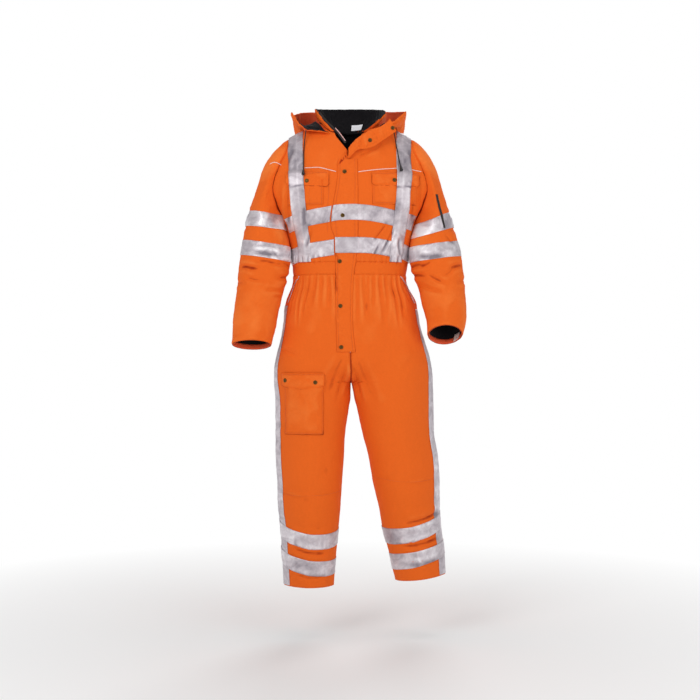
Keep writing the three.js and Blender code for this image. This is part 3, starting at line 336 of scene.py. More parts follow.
# Running length of the cloth along one axis of a grid
def lengths(points, axis):
    step = np.linalg.norm(np.diff(points, axis=axis), axis=-1)
    pad = [(0, 0), (0, 0)]
    pad[axis] = (1, 0)
    return np.pad(np.cumsum(step, axis), pad)


# A groove along chosen edges of a panel, gathered a little by its stitching
def seamGroove(points, edges, depth=1.6, width=6.0, seed=3):
    across, along = lengths(points, 1), lengths(points, 0)
    total = np.zeros(points.shape[:2])
    for edge in edges.split():
        away = {"first": across, "last": across[:, -1:] - across,
                "top": along[-1:] - along, "bottom": along}[edge]
        run = along if edge in ("first", "last") else across
        pucker = 1 + 0.5 * unevenness(run, 0 * run, 26, seed)
        total = total - depth * pucker * np.exp(-(away / width)**2)
        total = total + 0.5 * depth * pucker * np.exp(-((away - 2.2 * width) / width)**2)
    return total


# Shadows of sewn edges, which change the colour only
edgeShade = {"width": 2.4, "armholeWidth": 3.6, "armholeDepth": 1.5, "underarmDepth": 5.0,
             "darkensFrom": -150, "darkensOver": 60, "endsAt": -352, "endsOver": 14}


# Distance to the nearest edge of a piece, along its own cloth
def edgeAway(points, closed):
    along = lengths(points, 0)
    away = np.minimum(along, along[-1:] - along)
    if not closed:
        across = lengths(points, 1)
        away = np.minimum(away, np.minimum(across, across[:, -1:] - across))
    return away


# Painted shade in the crease where a body panel meets the sleeve, at its last column above the underarm
def armholeTone(form):
    away = lengths(form, 1)[:, -1:] - lengths(form, 1)
    low = smooth((edgeShade["darkensFrom"] - form[..., 2]) / edgeShade["darkensOver"])
    depth = edgeShade["armholeDepth"] + edgeShade["underarmDepth"] * low
    ends = smooth((form[..., 2] - edgeShade["endsAt"]) / edgeShade["endsOver"])
    return -depth * np.exp(-(away / edgeShade["armholeWidth"])**2) * ends


# Darker colour in a thin line along the edges, as the shadow that a sewn edge throws
def edgeTone(points, depth, closed=False):
    return -depth * np.exp(-(edgeAway(points, closed) / edgeShade["width"])**2)


# Mesh from a grid of points. The faces look the way of the normals, and the UV is the cloth's own
# length in both directions, in metres. relief plus the painted shading becomes an attribute that the
# cloth's colour reads as painted shade and painted highlight, so that the painted shading darkens or
# lightens a place without moving it.
def gridObject(name, points, normals, material, closed=False, relief=None, thick=0.0, inner=None,
               tone=0.0):
    rows, cols = points.shape[:2]
    mesh = bpy.data.meshes.new(name)
    a = np.arange(rows - 1)[:, None] * cols + np.arange(cols if closed else cols - 1)[None]
    right = np.where((a % cols) == cols - 1, a - cols + 1, a + 1) if closed else a + 1
    quads = np.stack([a, right, right + cols, a + cols], -1).reshape(-1, 4)
    if np.sum(gridNormals(points, closed) * normals) < 0:
        quads = quads[:, ::-1]
    mesh.vertices.add(rows * cols)
    mesh.vertices.foreach_set("co", (points * mm).reshape(-1).astype(np.float32))
    mesh.loops.add(quads.size)
    mesh.loops.foreach_set("vertex_index", quads.reshape(-1).astype(np.int32))
    mesh.polygons.add(len(quads))
    mesh.polygons.foreach_set("loop_start", np.arange(0, quads.size, 4, dtype=np.int32))
    mesh.update(calc_edges=True)
    u = lengths(points, 1) * mm
    v = lengths(points, 0) * mm
    v = np.broadcast_to(v.mean(1, keepdims=True), v.shape)
    uv = np.stack([u, v], -1).reshape(-1, 2)[quads.reshape(-1)].reshape(-1, 4, 2)
    if closed:
        girth = u[:, -1:].mean() * cols / (cols - 1)
        seam = np.ptp(uv[..., 0], axis=1, keepdims=True) > girth / 2
        uv[..., 0] = np.where(seam & (uv[..., 0] < girth / 2), uv[..., 0] + girth, uv[..., 0])
    layer = mesh.uv_layers.new(name="UVMap")
    layer.data.foreach_set("uv", uv.reshape(-1).astype(np.float32))
    height = mesh.attributes.new("relief", "FLOAT", "POINT")
    values = np.zeros((rows, cols)) if relief is None else np.broadcast_to(relief, (rows, cols))
    values = (values + np.broadcast_to(tone, (rows, cols))).reshape(-1)
    height.data.foreach_set("value", values.astype(np.float32))
    mesh.polygons.foreach_set("use_smooth", np.ones(len(quads), bool))
    mesh.materials.append(material)
    piece = bpy.data.objects.new(name, mesh)
    scene.collection.objects.link(piece)
    if thick:
        shell = piece.modifiers.new("thickness", "SOLIDIFY")
        shell.thickness = thick * mm
        shell.offset = -1
        shell.use_even_offset = False
        if inner is not None:
            mesh.materials.append(inner)
            shell.material_offset = 1
    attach(piece, "root")
    return piece


# A node's name in camel case
def camel(name):
    first, *rest = name.split("_")
    return first + "".join(word.capitalize() for word in rest)


# Flat size of a grid in metres: its widest row, its longest column and the sum of its faces' areas
def cutSize(points, closed=False):
    width = lengths(points, 1)[:, -1].max() * mm
    length = lengths(points, 0)[-1].max() * mm
    if closed:
        width += np.linalg.norm(points[:, 0] - points[:, -1], axis=-1).max() * mm
    across = np.roll(points, -1, 1) - points if closed else np.diff(points, axis=1)
    down = np.diff(points, axis=0)
    sizes = np.linalg.norm(np.cross(across[:-1], down[:, :across.shape[1]]), axis=-1)
    return width, length, sizes.sum() * mm * mm


# A strip under this width in metres is trim, not a sheet, and no sheet fills less than this share
# of the rectangle that it is cut from.
sheetRules = {"narrowest": 0.01, "leastShare": 0.31}


# One piece of cloth in place of the node of the same name: its form raised along the normals by its
# relief and lift, and the size it is cut to worked out, though nothing takes it. slack is how much
# more cloth a gathered piece holds than its form.
def cloth(name, form, relief, material, toward, slot="cloth", thick=2.2, lift=0.0, held="hung",
          closed=False, inner=None, on=(), slack=1.0, tone=0.0):
    normals = outward(form, toward, closed)
    raised = form + normals * (np.broadcast_to(relief, form.shape[:2]) + lift)[..., None]
    piece = gridObject(camel(name) + "Piece", raised, normals, material, closed, relief, thick, inner,
                       tone)
    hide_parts(name)
    width, length, area = cutSize(form, closed)
    width *= slack
    area = min(area * slack, width * length)
    if min(width, length) < sheetRules["narrowest"]:
        return
    area = max(area, sheetRules["leastShare"] * width * length)


# Joined small parts: the same little mesh set down many times along given axes
def stampObject(name, corners, faces, places, xAxes, yAxes, zAxes, material):
    corners = np.asarray(corners, float)
    frames = np.stack([xAxes, yAxes, zAxes], 1)
    points = places[:, None] + np.einsum("ck,nkj->ncj", corners, frames)
    count = len(corners)
    size = len(faces[0])
    index = np.asarray(faces)[None] + (np.arange(len(places)) * count)[:, None, None]
    mesh = bpy.data.meshes.new(name)
    mesh.from_pydata((points.reshape(-1, 3) * mm).tolist(), [], index.reshape(-1, size).tolist())
    mesh.polygons.foreach_set("use_smooth", np.ones(len(mesh.polygons), bool))
    mesh.materials.append(material)
    piece = bpy.data.objects.new(name, mesh)
    scene.collection.objects.link(piece)
    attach(piece, "root")


# Points at even distances along a line of points
def evenly(path, step):
    path = np.asarray(path, float)
    run = np.concatenate([[0], np.cumsum(np.linalg.norm(np.diff(path, axis=0), axis=1))])
    count = max(2, int(round(run[-1] / step)) + 1)
    at = np.linspace(0, run[-1], count)
    return np.stack([np.interp(at, run, path[:, k]) for k in range(3)], -1)


# Tube of rings along a path: ring points are radius * (cos, sin) in the plane across the path, and
# the radius may change along it. Both ends close on a point.
def tubeObject(name, path, radius, material, ring=8):
    path = np.asarray(path, float)
    along = unit(np.gradient(path, axis=0))
    side = unit(np.cross(along, [0.13, 0.97, 0.21]))
    up = np.cross(side, along)
    turn = np.arange(ring) * 2 * math.pi / ring
    radius = np.broadcast_to(radius, len(path))
    rings = (path[:, None] + radius[:, None, None] * (np.cos(turn)[None, :, None] * side[:, None]
                                                    + np.sin(turn)[None, :, None] * up[:, None]))
    ends = [np.repeat(path[k][None], ring, 0)[None] for k in (0, -1)]
    points = np.concatenate([ends[0], rings, ends[1]])
    piece = gridObject(name, points, outward(points, "loop", True), material, True)
    weld = piece.modifiers.new("ends", "WELD")
    weld.merge_threshold = 0.00001
    return piece


# One stitch: a short rounded dash standing along a line on the cloth, as thick thread
stitchForm = {"length": 2.6, "wide": 0.55, "high": 0.5, "sunk": -0.3, "pitch": 4.1}
half, wide = stitchForm["length"] / 2, stitchForm["wide"]
sunk, high = stitchForm["sunk"], stitchForm["high"]
stitchForm["corners"] = [(-half, 0, sunk), (-half * 0.6, -wide, 0), (half * 0.6, -wide, 0),
                         (half, 0, sunk),
                         (half * 0.6, wide, 0), (-half * 0.6, wide, 0),
                         (-half * 0.5, 0, high), (half * 0.5, 0, high)]
stitchForm["faces"] = [(0, 1, 6), (1, 2, 6), (2, 7, 6), (2, 3, 7), (3, 4, 7), (4, 5, 7), (5, 6, 7),
                       (5, 0, 6),
                       (0, 5, 1), (1, 5, 4), (1, 4, 2), (2, 4, 3)]


# Materials

# sRGB hex to the linear values that the shaders take
def colour(code, alpha=1.0):
    parts = [int(code[k:k + 2], 16) / 255 for k in (0, 2, 4)]
    return [p / 12.92 if p <= 0.04045 else ((p + 0.055) / 1.055)**2.4 for p in parts] + [alpha]


# A node with its settings and links: in_ names an input's value, and stops are a ramp's places and
# colours.
def node(tree, kind, links=None, **settings):
    made = tree.nodes.new("ShaderNode" + kind)
    for key, value in settings.items():
        if key.startswith("in_"):
            made.inputs[key[3:].replace("_", " ")].default_value = value
        elif key == "stops":
            elements = made.color_ramp.elements
            while len(elements) < len(value):
                elements.new(0.5)
            for element, (place, shade) in zip(elements, value):
                element.position, element.color = place, shade
        else:
            setattr(made, key, value)
    for socket, source in (links or {}).items():
        tree.links.new(source, made.inputs[socket])
    return made


# A material with a shader on its output and nothing else
def newMaterial(name):
    material = bpy.data.materials.new(name)
    material.use_nodes = True
    tree = material.node_tree
    tree.nodes.clear()
    shader = node(tree, "BsdfPrincipled")
    out = node(tree, "OutputMaterial")
    tree.links.new(shader.outputs[0], out.inputs[0])
    return material, tree, shader


# The relief in millimetres, either way from level, that takes the ramp of painted shade and painted
# highlight from end to end
rampReach = 6.0


# Woven coated polyester: painted shade in the folds (deeper red) and a painted highlight on the ridges
# (lighter), both from the relief attribute, soft blotches, and a basket weave from two sine waves
# across the UV, with threads 0.7 mm wide, a little coarser than real ones.
def clothMaterial(name, base, foldShade, light, rough=0.78, sheen=0.06, threads=450.0):
    material, tree, shader = newMaterial(name)
    place = node(tree, "TexCoord").outputs["Object"]
    relief = node(tree, "Attribute", attribute_name="relief").outputs["Fac"]
    # The relief attribute on a ramp: painted shade in the hollows and a painted highlight on the rises
    folded = node(tree, "MapRange", {"Value": relief}, in_From_Min=-rampReach,
                  in_From_Max=rampReach).outputs[0]
    blotch = node(tree, "TexNoise", {"Vector": place}, in_Scale=6.0, in_Detail=4.0, in_Roughness=0.55)
    fine = node(tree, "TexNoise", {"Vector": place}, in_Scale=160.0, in_Detail=3.0, in_Roughness=0.6)
    mixed = node(tree, "Math", {0: blotch.outputs["Fac"], 2: folded}, operation="MULTIPLY_ADD")
    mixed.inputs[1].default_value = 0.12
    shade = node(tree, "ValToRGB", {"Fac": mixed.outputs[0]},
                 stops=[(0.08, colour(foldShade)), (0.36, colour(base)), (0.62, colour(base)),
                        (0.95, colour(light))])
    faint = node(tree, "ValToRGB", {"Fac": fine.outputs["Fac"]},
                 stops=[(0.3, (0.86, 0.84, 0.82, 1)), (0.7, (1, 1, 1, 1))])
    grain = node(tree, "Mix", {6: shade.outputs[0], 7: faint.outputs[0]}, data_type="RGBA",
                 blend_type="MULTIPLY")
    grain.inputs[0].default_value = 0.3
    tree.links.new(grain.outputs[2], shader.inputs["Base Color"])
    cut = node(tree, "UVMap", uv_map="UVMap").outputs[0]
    warp, weft = [node(tree, "TexWave", {"Vector": cut}, in_Scale=threads, bands_direction=axis,
                       wave_profile="SIN", in_Distortion=0.6, in_Detail=1.0,
                       in_Detail_Scale=2.0).outputs["Fac"] for axis in ("X", "Y")]
    woven = node(tree, "Math", {0: warp, 1: weft}, operation="MULTIPLY").outputs[0]
    bump = node(tree, "Bump", {"Height": woven}, in_Strength=0.35, in_Distance=0.0003)
    soft = node(tree, "Bump", {"Height": fine.outputs["Fac"], "Normal": bump.outputs[0]},
                in_Strength=0.25, in_Distance=0.0012)
    tree.links.new(soft.outputs[0], shader.inputs["Normal"])
    settings = {"Roughness": rough, "Sheen Weight": sheen, "Sheen Roughness": 0.45,
                "Sheen Tint": colour(light), "IOR": 1.5, "Specular IOR Level": 0.15}
    for key, value in settings.items():
        shader.inputs[key].default_value = value
    return material


# Glass-bead tape: a pale lilac silver with painted shade and painted highlights, darker and brighter in
# the crumples from the relief attribute and in crisp noise patches that stand for the glints of the
# beads, and a third metallic so that creases catch the light. The beads are drawn about 0.7 mm across,
# coarser than the real ones.
def tapeMaterial():
    material, tree, shader = newMaterial("glassBeadTape")
    place = node(tree, "TexCoord").outputs["Object"]
    relief = node(tree, "Attribute", attribute_name="relief").outputs["Fac"]
    folded = node(tree, "MapRange", {"Value": relief}, in_From_Min=-rampReach,
                  in_From_Max=rampReach).outputs[0]
    blotch = node(tree, "TexNoise", {"Vector": place}, in_Scale=26.0, in_Detail=3.0, in_Roughness=0.6,
                  in_Distortion=1.1)
    beads = node(tree, "TexVoronoi", {"Vector": place}, in_Scale=1400.0)
    # Painted shade and painted highlight: the relief and the glint patches on one ramp
    mixed = node(tree, "Math", {0: blotch.outputs["Fac"], 2: folded}, operation="MULTIPLY_ADD")
    mixed.inputs[1].default_value = 0.5
    shade = node(tree, "ValToRGB", {"Fac": mixed.outputs[0]},
                 stops=[(0.50, colour("857D86")), (0.64, colour("ADA4AB")), (0.76, colour("C4BBC1")),
                        (0.88, colour("DCD5DA")), (0.99, colour("F2EEF1"))])
    tree.links.new(shade.outputs[0], shader.inputs["Base Color"])
    bump = node(tree, "Bump", {"Height": beads.outputs["Distance"]}, in_Strength=0.2,
                in_Distance=0.0002)
    tree.links.new(bump.outputs[0], shader.inputs["Normal"])
    shader.inputs["Metallic"].default_value = 0.35
    shader.inputs["Roughness"].default_value = 0.42
    return material


# Brushed fleece: near black, very rough, with a soft pile sheen
def liningMaterial():
    material, tree, shader = newMaterial("brushedFleece")
    place = node(tree, "TexCoord").outputs["Object"]
    pile = node(tree, "TexNoise", {"Vector": place}, in_Scale=260.0, in_Detail=5.0, in_Roughness=0.7)
    shade = node(tree, "ValToRGB", {"Fac": pile.outputs["Fac"]},
                 stops=[(0.3, colour("0E0E11")), (0.75, colour("1C181B"))])
    tree.links.new(shade.outputs[0], shader.inputs["Base Color"])
    bump = node(tree, "Bump", {"Height": pile.outputs["Fac"]}, in_Strength=0.7, in_Distance=0.002)
    tree.links.new(bump.outputs[0], shader.inputs["Normal"])
    shader.inputs["Roughness"].default_value = 0.95
    shader.inputs["Sheen Weight"].default_value = 0.1
    shader.inputs["Specular IOR Level"].default_value = 0.08
    return material


# A plain moulded, woven or metal surface with fine wear: the noise moves colour and roughness
def smallMaterial(name, dark, light, rough, metallic=0.0, scale=300.0, strength=0.3):
    material, tree, shader = newMaterial(name)
    place = node(tree, "TexCoord").outputs["Object"]
    noise = node(tree, "TexNoise", {"Vector": place}, in_Scale=scale, in_Detail=4.0, in_Roughness=0.6)
    shade = node(tree, "ValToRGB", {"Fac": noise.outputs["Fac"]},
                 stops=[(0.3, colour(dark)), (0.7, colour(light))])
    tree.links.new(shade.outputs[0], shader.inputs["Base Color"])
    worn = node(tree, "MapRange", {"Value": noise.outputs["Fac"]}, in_To_Min=rough - 0.12,
                in_To_Max=rough + 0.12)
    tree.links.new(worn.outputs[0], shader.inputs["Roughness"])
    bump = node(tree, "Bump", {"Height": noise.outputs["Fac"]}, in_Strength=strength,
                in_Distance=0.0006)
    tree.links.new(bump.outputs[0], shader.inputs["Normal"])
    shader.inputs["Metallic"].default_value = metallic
    return material


# Coated polyester: a strong even orange, with painted shade that is redder in the folds and a painted
# highlight on the ridges
orange = clothMaterial("coatedPolyester", "EC671C", "9E2A06", "F47A30")
# A darker copy of the same cloth as painted shade, for deep in a seam where little light reaches
shadedOrange = clothMaterial("seamShadePolyester", "A8380E", "7A1E08", "C04A18")
# The cloth's uncoated side: pinker and duller
orangeInside = clothMaterial("uncoatedPolyester", "EE5E38", "A82C18", "F88A62", rough=0.8)
# Reflective tape and fleece have their own functions above
tape = tapeMaterial()
fleece = liningMaterial()
# Woven cotton piping: a pale line beside the orange
piping = smallMaterial("wovenCotton", "E9C9BE", "F6E4DE", 0.45, scale=600.0)
# Spun polyester thread: darker than the cloth that it sews; the same dark red paints the shade along
# the hip pocket's edge
threadAndShadow = smallMaterial("spunThreadAndShadow", "B8431A", "DE6A34", 0.6, scale=900.0)
# Woven zip tape: a flat black
zipCloth = smallMaterial("wovenZipTape", "161417", "2A262B", 0.7, scale=900.0)
# Blackened zinc alloy zip teeth: small dull glints
zipMetal = smallMaterial("zincAlloy", "2A2620", "5C5448", 0.4, metallic=0.7, scale=700.0)
# Dyed cotton piping of the facing: dusty pink
facingTape = smallMaterial("dyedCotton", "C98C8A", "E6BDB8", 0.6, scale=500.0)
# Antiqued brass caps: dark in the hollows and warm where they are rubbed
brass = smallMaterial("antiqueBrass", "2E2216", "8A6A38", 0.34, metallic=0.95, scale=420.0,
                      strength=0.15)
# Satin ribbon: near white
labelCloth = smallMaterial("satinRibbon", "E6E4EA", "F8F7FA", 0.7, scale=900.0)
# Braided polyester cord: matt black, with its strands as a rough grain
cordBraid = smallMaterial("braidedPolyester", "0A0A0B", "202022", 0.75, scale=900.0, strength=0.6)
# Moulded nylon cord ends: black and a little glossy
cordPlastic = smallMaterial("mouldedNylon", "101011", "1E1E20", 0.45, scale=200.0)
print("materials ready")


# Drawcords of the hood: each hangs from its eyelet over the shoulder front and ends in a cone

cordSet = {"radius": 1.7, "endLength": 20.0, "endGap": 0.4, "endStart": 2.6, "endFinish": 5.5,
           "roundFrom": 0.93, "roundness": 60}
cordRoutes = {
    "right": [(-140.3, -66.3, 9.6), (-143, -68, -12), (-145.5, -72.8, -38), (-147, -82.2, -62),
              (-147, -96.6, -93),
              (-147, -103.2, -108), (-147, -111.3, -121)],
    "left": [(133.6, -66.3, 28.4), (139, -67.6, 8), (143.5, -68.8, -15), (147.5, -72, -40),
             (151, -80.4, -60),
             (155.5, -91.6, -88), (159, -102.5, -107)],
}


# A tube along the smooth line through the route, and a tube that widens by a soft step below it
def cord(side):
    path = through(cordRoutes[side], 80)
    piece = tubeObject("cord" + side.capitalize(), path, cordSet["radius"], cordBraid, 12)
    tip, toward = path[-1], unit(path[-1] - path[-2])
    t = np.linspace(0, 1, 24)
    line = tip + toward * (cordSet["endGap"] + t[:, None] * cordSet["endLength"])
    rounding = np.sqrt(1 - np.clip(t - cordSet["roundFrom"], 0, 1)**2 * cordSet["roundness"])
    radius = mix(cordSet["endStart"], cordSet["endFinish"], smooth(t)) * rounding
    radius = radius * smooth(np.minimum(t / 0.03 + 0.6, 1))
    end = tubeObject("cordEnd" + side.capitalize(), line, radius, cordPlastic, 20)
    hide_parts("cord_" + side)
    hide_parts("cord_end_" + side)


for side in sides:
    cord(side)
print("cords ready")


# Folds of the torso and sleeves are graded: narrow ones are made crisper and wide ones shallower
grading = {"narrow": 9, "narrowWidth": 0.7, "narrowDepth": 1.1, "wideDepth": 0.5}


# Rows of folds with the widths and depths multiplied by the grading
def graded(rows):
    crisp, shallow = (grading["narrowWidth"], grading["narrowDepth"]), (1, grading["wideDepth"])
    factors = [crisp if width <= grading["narrow"] else shallow for *_, width, depth in rows]
    return [(start, bend, end, width * wider, depth * deeper)
            for (start, bend, end, width, depth), (wider, deeper) in zip(rows, factors)]


# Folds of the cloth, as seen from the front or the back: start, bend and end (x, z), width, depth
torsoFrontFolds = [
    ((-2, -62), (-22, -84), (-44, -118), 6, 4.0),
    ((14, -80), (58, -66), (112, -34), 8, 2.6),
    ((212, -110), (236, -170), (222, -250), 10, 5.0),
    ((190, -150), (208, -210), (196, -290), 9, 3.0),
    ((-214, -118), (-236, -170), (-222, -244), 10, 5.0),
    ((-196, -170), (-206, -230), (-190, -310), 9, 3.5),
    ((150, -176), (142, -250), (120, -330), 17, 2.6),
    ((-150, -170), (-150, -250), (-128, -340), 17, 2.6),
    ((118, -286), (99, -318), (70, -350), 5, 3.2),
    ((140, -300), (124, -340), (96, -392), 5, 3.4),
    ((154, -332), (150, -368), (164, -400), 5, 3.0),
    ((92, -352), (82, -378), (70, -402), 4, 2.6),
    ((-140, -236), (-150, -262), (-142, -300), 6, 2.6),
    ((-120, -300), (-128, -340), (-142, -372), 6, 2.4),
    ((-92, -262), (-84, -310), (-88, -350), 12, 1.8),
    ((52, -140), (60, -190), (54, -240), 16, 1.8),
    ((-60, 0), (-80, -30), (-130, -60), 16, 2.2),
    ((60, -5), (90, -40), (138, -70), 16, 2.0),
    ((-180, -40), (-196, -80), (-206, -120), 9, 2.4),
    ((182, -42), (198, -84), (212, -126), 9, 2.2),
]
torsoBackFolds = [
    ((-216, -110), (-230, -180), (-214, -262), 11, 5.0),
    ((214, -108), (228, -176), (212, -258), 11, 5.0),
    ((-180, -160), (-120, -230), (-70, -330), 15, 4.0),
    ((176, -150), (128, -226), (60, -322), 15, 4.0),
    ((-90, -250), (-30, -300), (20, -390), 13, 3.2),
    ((100, -280), (84, -330), (90, -400), 12, 2.8),
    ((-140, -300), (-120, -350), (-132, -400), 12, 3.0),
    ((0, -120), (-14, -180), (6, -250), 20, 2.0),
]
trouserFrontFolds = [
    ((-128, -462), (-122, -545), (-158, -650), 15, 3.2),
    ((-62, -470), (-72, -560), (-76, -650), 10, 3.0),
    ((-96, -520), (-90, -600), (-104, -690), 16, 2.0),
    ((34, -466), (58, -540), (70, -630), 10, 2.8),
    ((112, -462), (150, -515), (178, -600), 11, 3.0),
    ((100, -560), (124, -640), (120, -730), 20, 2.2),
    ((8, -700), (40, -750), (92, -900), 13, 6.5),
    ((4, -716), (18, -780), (44, -870), 8, 4.5),
    ((-14, -700), (-40, -745), (-78, -850), 13, 6.5),
    ((-8, -716), (-20, -775), (-48, -860), 8, 4.0),
    ((160, -748), (200, -730), (238, -700), 11, 2.2),
    ((170, -780), (210, -772), (250, -748), 12, 1.6),
    ((-160, -706), (-196, -700), (-228, -676), 9, 2.2),
    ((96, -880), (146, -1030), (196, -1190), 26, 3.0),
    ((190, -900), (214, -1010), (236, -1120), 20, 3.0),
    ((-66, -850), (-56, -990), (-88, -1150), 22, 3.0),
    ((-150, -968), (-140, -1090), (-118, -1230), 26, 2.2),
    ((-208, -1140), (-180, -1152), (-120, -1150), 7, -2.6),
    ((-214, -1166), (-170, -1176), (-96, -1170), 12, 1.2),
    ((246, -1096), (214, -1108), (170, -1104), 7, -2.4),
    ((252, -1122), (216, -1132), (150, -1124), 12, 1.2),
    ((-198, -1236), (-150, -1264), (-58, -1254), 10, 3.6),
    ((-196, -1316), (-130, -1348), (-54, -1336), 9, 4.2),
    ((-190, -1404), (-130, -1424), (-60, -1414), 9, 2.6),
    ((290, -1186), (240, -1212), (150, -1222), 10, -3.4),
    ((290, -1206), (240, -1236), (150, -1242), 8, 3.4),
    ((300, -1288), (226, -1316), (146, -1316), 9, 4.0),
    ((300, -1352), (236, -1382), (160, -1374), 8, 3.4),
]
trouserBackFolds = [
    ((-10, -716), (-60, -790), (-150, -830), 14, 6.0),
    ((12, -716), (64, -790), (168, -826), 14, 6.0),
    ((-8, -740), (-36, -830), (-90, -900), 10, 4.0),
    ((12, -740), (44, -830), (110, -896), 10, 4.0),
    ((-150, -520), (-140, -600), (-120, -680), 20, 2.4),
    ((150, -520), (146, -600), (126, -690), 20, 2.4),
    ((-60, -900), (-90, -1010), (-130, -1120), 24, 4.0),
    ((110, -900), (160, -1020), (200, -1120), 24, 4.0),
    ((-200, -1130), (-140, -1160), (-60, -1140), 12, 4.0),
    ((270, -1120), (200, -1150), (110, -1130), 12, 4.0),
    ((-190, -1210), (-130, -1230), (-60, -1220), 11, 3.4),
    ((280, -1190), (220, -1216), (140, -1200), 11, 3.4),
    ((-190, -1330), (-130, -1350), (-60, -1336), 10, 3.4),
    ((290, -1300), (220, -1326), (150, -1310), 10, 3.4),
]

# Gathers of the elastic waist: where they fall on the front, the rest at seeded places all round
gatherSet = {
    "front": [-163, -147, -124, -104, -89, -66, -48, 24, 41, 58, 73, 92, 110, 130, 147, 160],
    "around": 34, "hiddenFrom": 1.42, "girth": 150.0, "halfWidth": 190, "halfDepth": 115,
}


# Place round the trunk in millimetres of girth, 0 at the middle of the front
def girthPlace(x, y):
    return np.arctan2(x / gatherSet["halfWidth"], -y / gatherSet["halfDepth"]) * gatherSet["girth"]


# Each gather is a long fold down from the waistband and a short one up from it, at the same place
def gatherRows():
    rng = np.random.default_rng(5)
    out = [x / gatherSet["halfWidth"] for x in gatherSet["front"]]
    front = [girthPlace(gatherSet["halfWidth"] * x,
                        -gatherSet["halfDepth"] * math.sqrt(max(0.05, 1 - x**2)))
             for x in out]
    ring = np.linspace(-math.pi, math.pi, gatherSet["around"], endpoint=False) * gatherSet["girth"]
    far = gatherSet["hiddenFrom"] * gatherSet["girth"]
    hidden = [s + rng.uniform(-5, 5) for s in ring if abs(s) > far]
    rows = []
    for s in front + hidden:
        drift, length = rng.uniform(-12, 12), rng.uniform(70, 190)
        width, depth = rng.uniform(2.8, 4.4), rng.uniform(3.0, 5.0)
        rows.append(((s, -436), (s + drift * 0.3, -450 - length * 0.4), (s + drift, -450 - length),
                     width, depth))
        above = s + rng.uniform(-9, 9)
        rows.append(((above, -424), (above + drift * 0.2, -404),
                     (above - drift * 0.4, -372 - length * 0.1),
                     width * 0.75, depth * 0.6))
    return rows


waistGathers = gatherRows()

# Fullness under the arms: a swelling of the body and of the sleeve towards each other
underarm = {"z": -326, "reach": 38, "depthReach": 45, "body": 5.5, "sleeve": 8.0}

# Soft unevenness of the whole suit, and how the folds fade at the side seams
reliefSet = {"coarse": 1.1, "coarseSize": 130, "fine": 0.35, "fineSize": 44, "seamFade": 30,
             "waistSeamZ": -451, "trouserShare": 0.75, "gathersFrom": -360, "gathersTo": -600}


# Depth at which the side seam runs: the trunk's middle, or the leg's
def legMiddle(side, z):
    return np.where(z < crotchTopZ, column(legTable[side], "middle", z), 0)


# Relief of the torso and trousers: soft unevenness that runs on across the seams, the folds of
# that face fading out at the seams, and the gathers of the waist.
def bodyRelief(points, face):
    x, y, z = points[..., 0], points[..., 1], points[..., 2]
    middle = np.where(x < centreX(z), legMiddle("right", z), legMiddle("left", z))
    spread = x + 0.8 * y
    soft = (reliefSet["coarse"] * unevenness(spread, z, reliefSet["coarseSize"], 11)
            + reliefSet["fine"] * unevenness(spread, z, reliefSet["fineSize"], 12))
    trunk = z > reliefSet["waistSeamZ"]
    rows = (torsoFrontFolds if face < 0 else torsoBackFolds) if trunk.any() else []
    if (~trunk).any():
        rows = rows + (trouserFrontFolds if face < 0 else trouserBackFolds)
    rows, share = (graded(rows), 1) if trunk.any() else (rows, reliefSet["trouserShare"])
    total = soft + folds(x, z, rows) * smooth(np.abs(y - middle) / reliefSet["seamFade"]) * share
    full = np.exp(-((z - underarm["z"]) / underarm["reach"])**2 - (y / underarm["depthReach"])**2)
    total = total + underarm["body"] * full
    if (z > reliefSet["gathersTo"]).any() and (z < reliefSet["gathersFrom"]).any():
        total = total + folds(girthPlace(x, y), z, waistGathers)
    return total


# Crumples of the tape, which run on over the places where it changes direction
def tapeRelief(points, size=34, height=1.3, seed=31):
    x, y, z = points[..., 0], points[..., 1], points[..., 2]
    return height * crumple(x + 0.8 * y, z, size, seed)


# Front view lines drawn on the suit: points at even distances with their normals

# The bare form over places in the front view
def frontBase(x, z, face=-1):
    if np.all(z > slowTopZ):
        return onTrunk(x, z, face)
    right, left = onLeg("right", x, z, face), onLeg("left", x, z, face)
    return np.where((x < centreX(z))[..., None], right, left)


# The finished cloth over those places, with normals from steps of a millimetre across and up
def frontSurface(x, z, lift, face=-1):
    x, z = np.broadcast_arrays(np.asarray(x, float), np.asarray(z, float))
    base = frontBase(x, z, face)
    normal = unit(np.cross(frontBase(x + 1, z, face) - base, frontBase(x, z + 1, face) - base))
    normal = normal * np.where(normal[..., 1:2] * face > 0, 1, -1)
    return base + normal * (bodyRelief(base, face) + lift)[..., None], normal


# Points on the cloth at even distances along the smooth line through places in the front view
def frontLine(points, lift, step=stitchForm["pitch"], face=-1):
    flat = through(points, 160)
    dense = frontBase(flat[:, 0], flat[:, 1], face)
    run = np.concatenate([[0], np.cumsum(np.linalg.norm(np.diff(dense, axis=0), axis=1))])
    at = np.linspace(0, run[-1], max(3, int(run[-1] / step)))
    return frontSurface(np.interp(at, run, flat[:, 0]), np.interp(at, run, flat[:, 1]), lift, face)


# Torso panels: columns by angle from the middle, rows up to the chest and over it to the shoulder

# Height of the neck edge: a curve across the back, and a V with curved sides in front
def neckZ(x, face):
    out = np.abs(x)
    tip = shoulderZ(neckHalf)
    if face > 0:
        return mix(20, tip, (out / neckHalf)**2)
    wide = mix(3, tip, ((out - openingHalf) / (neckHalf - openingHalf))**2)
    return np.where(out > openingHalf, wide,
                    mix(-59, 3, np.clip(np.abs(x - centreX(0)) / (openingHalf + 3), 0, 1)))


# How far out a torso panel reaches: to the armhole above the underarm, to the side seam below it
def panelEdge(z, side):
    return np.where(z > underarmZ, column(armholeTable, "out", z), column(trunkTable, side, z))


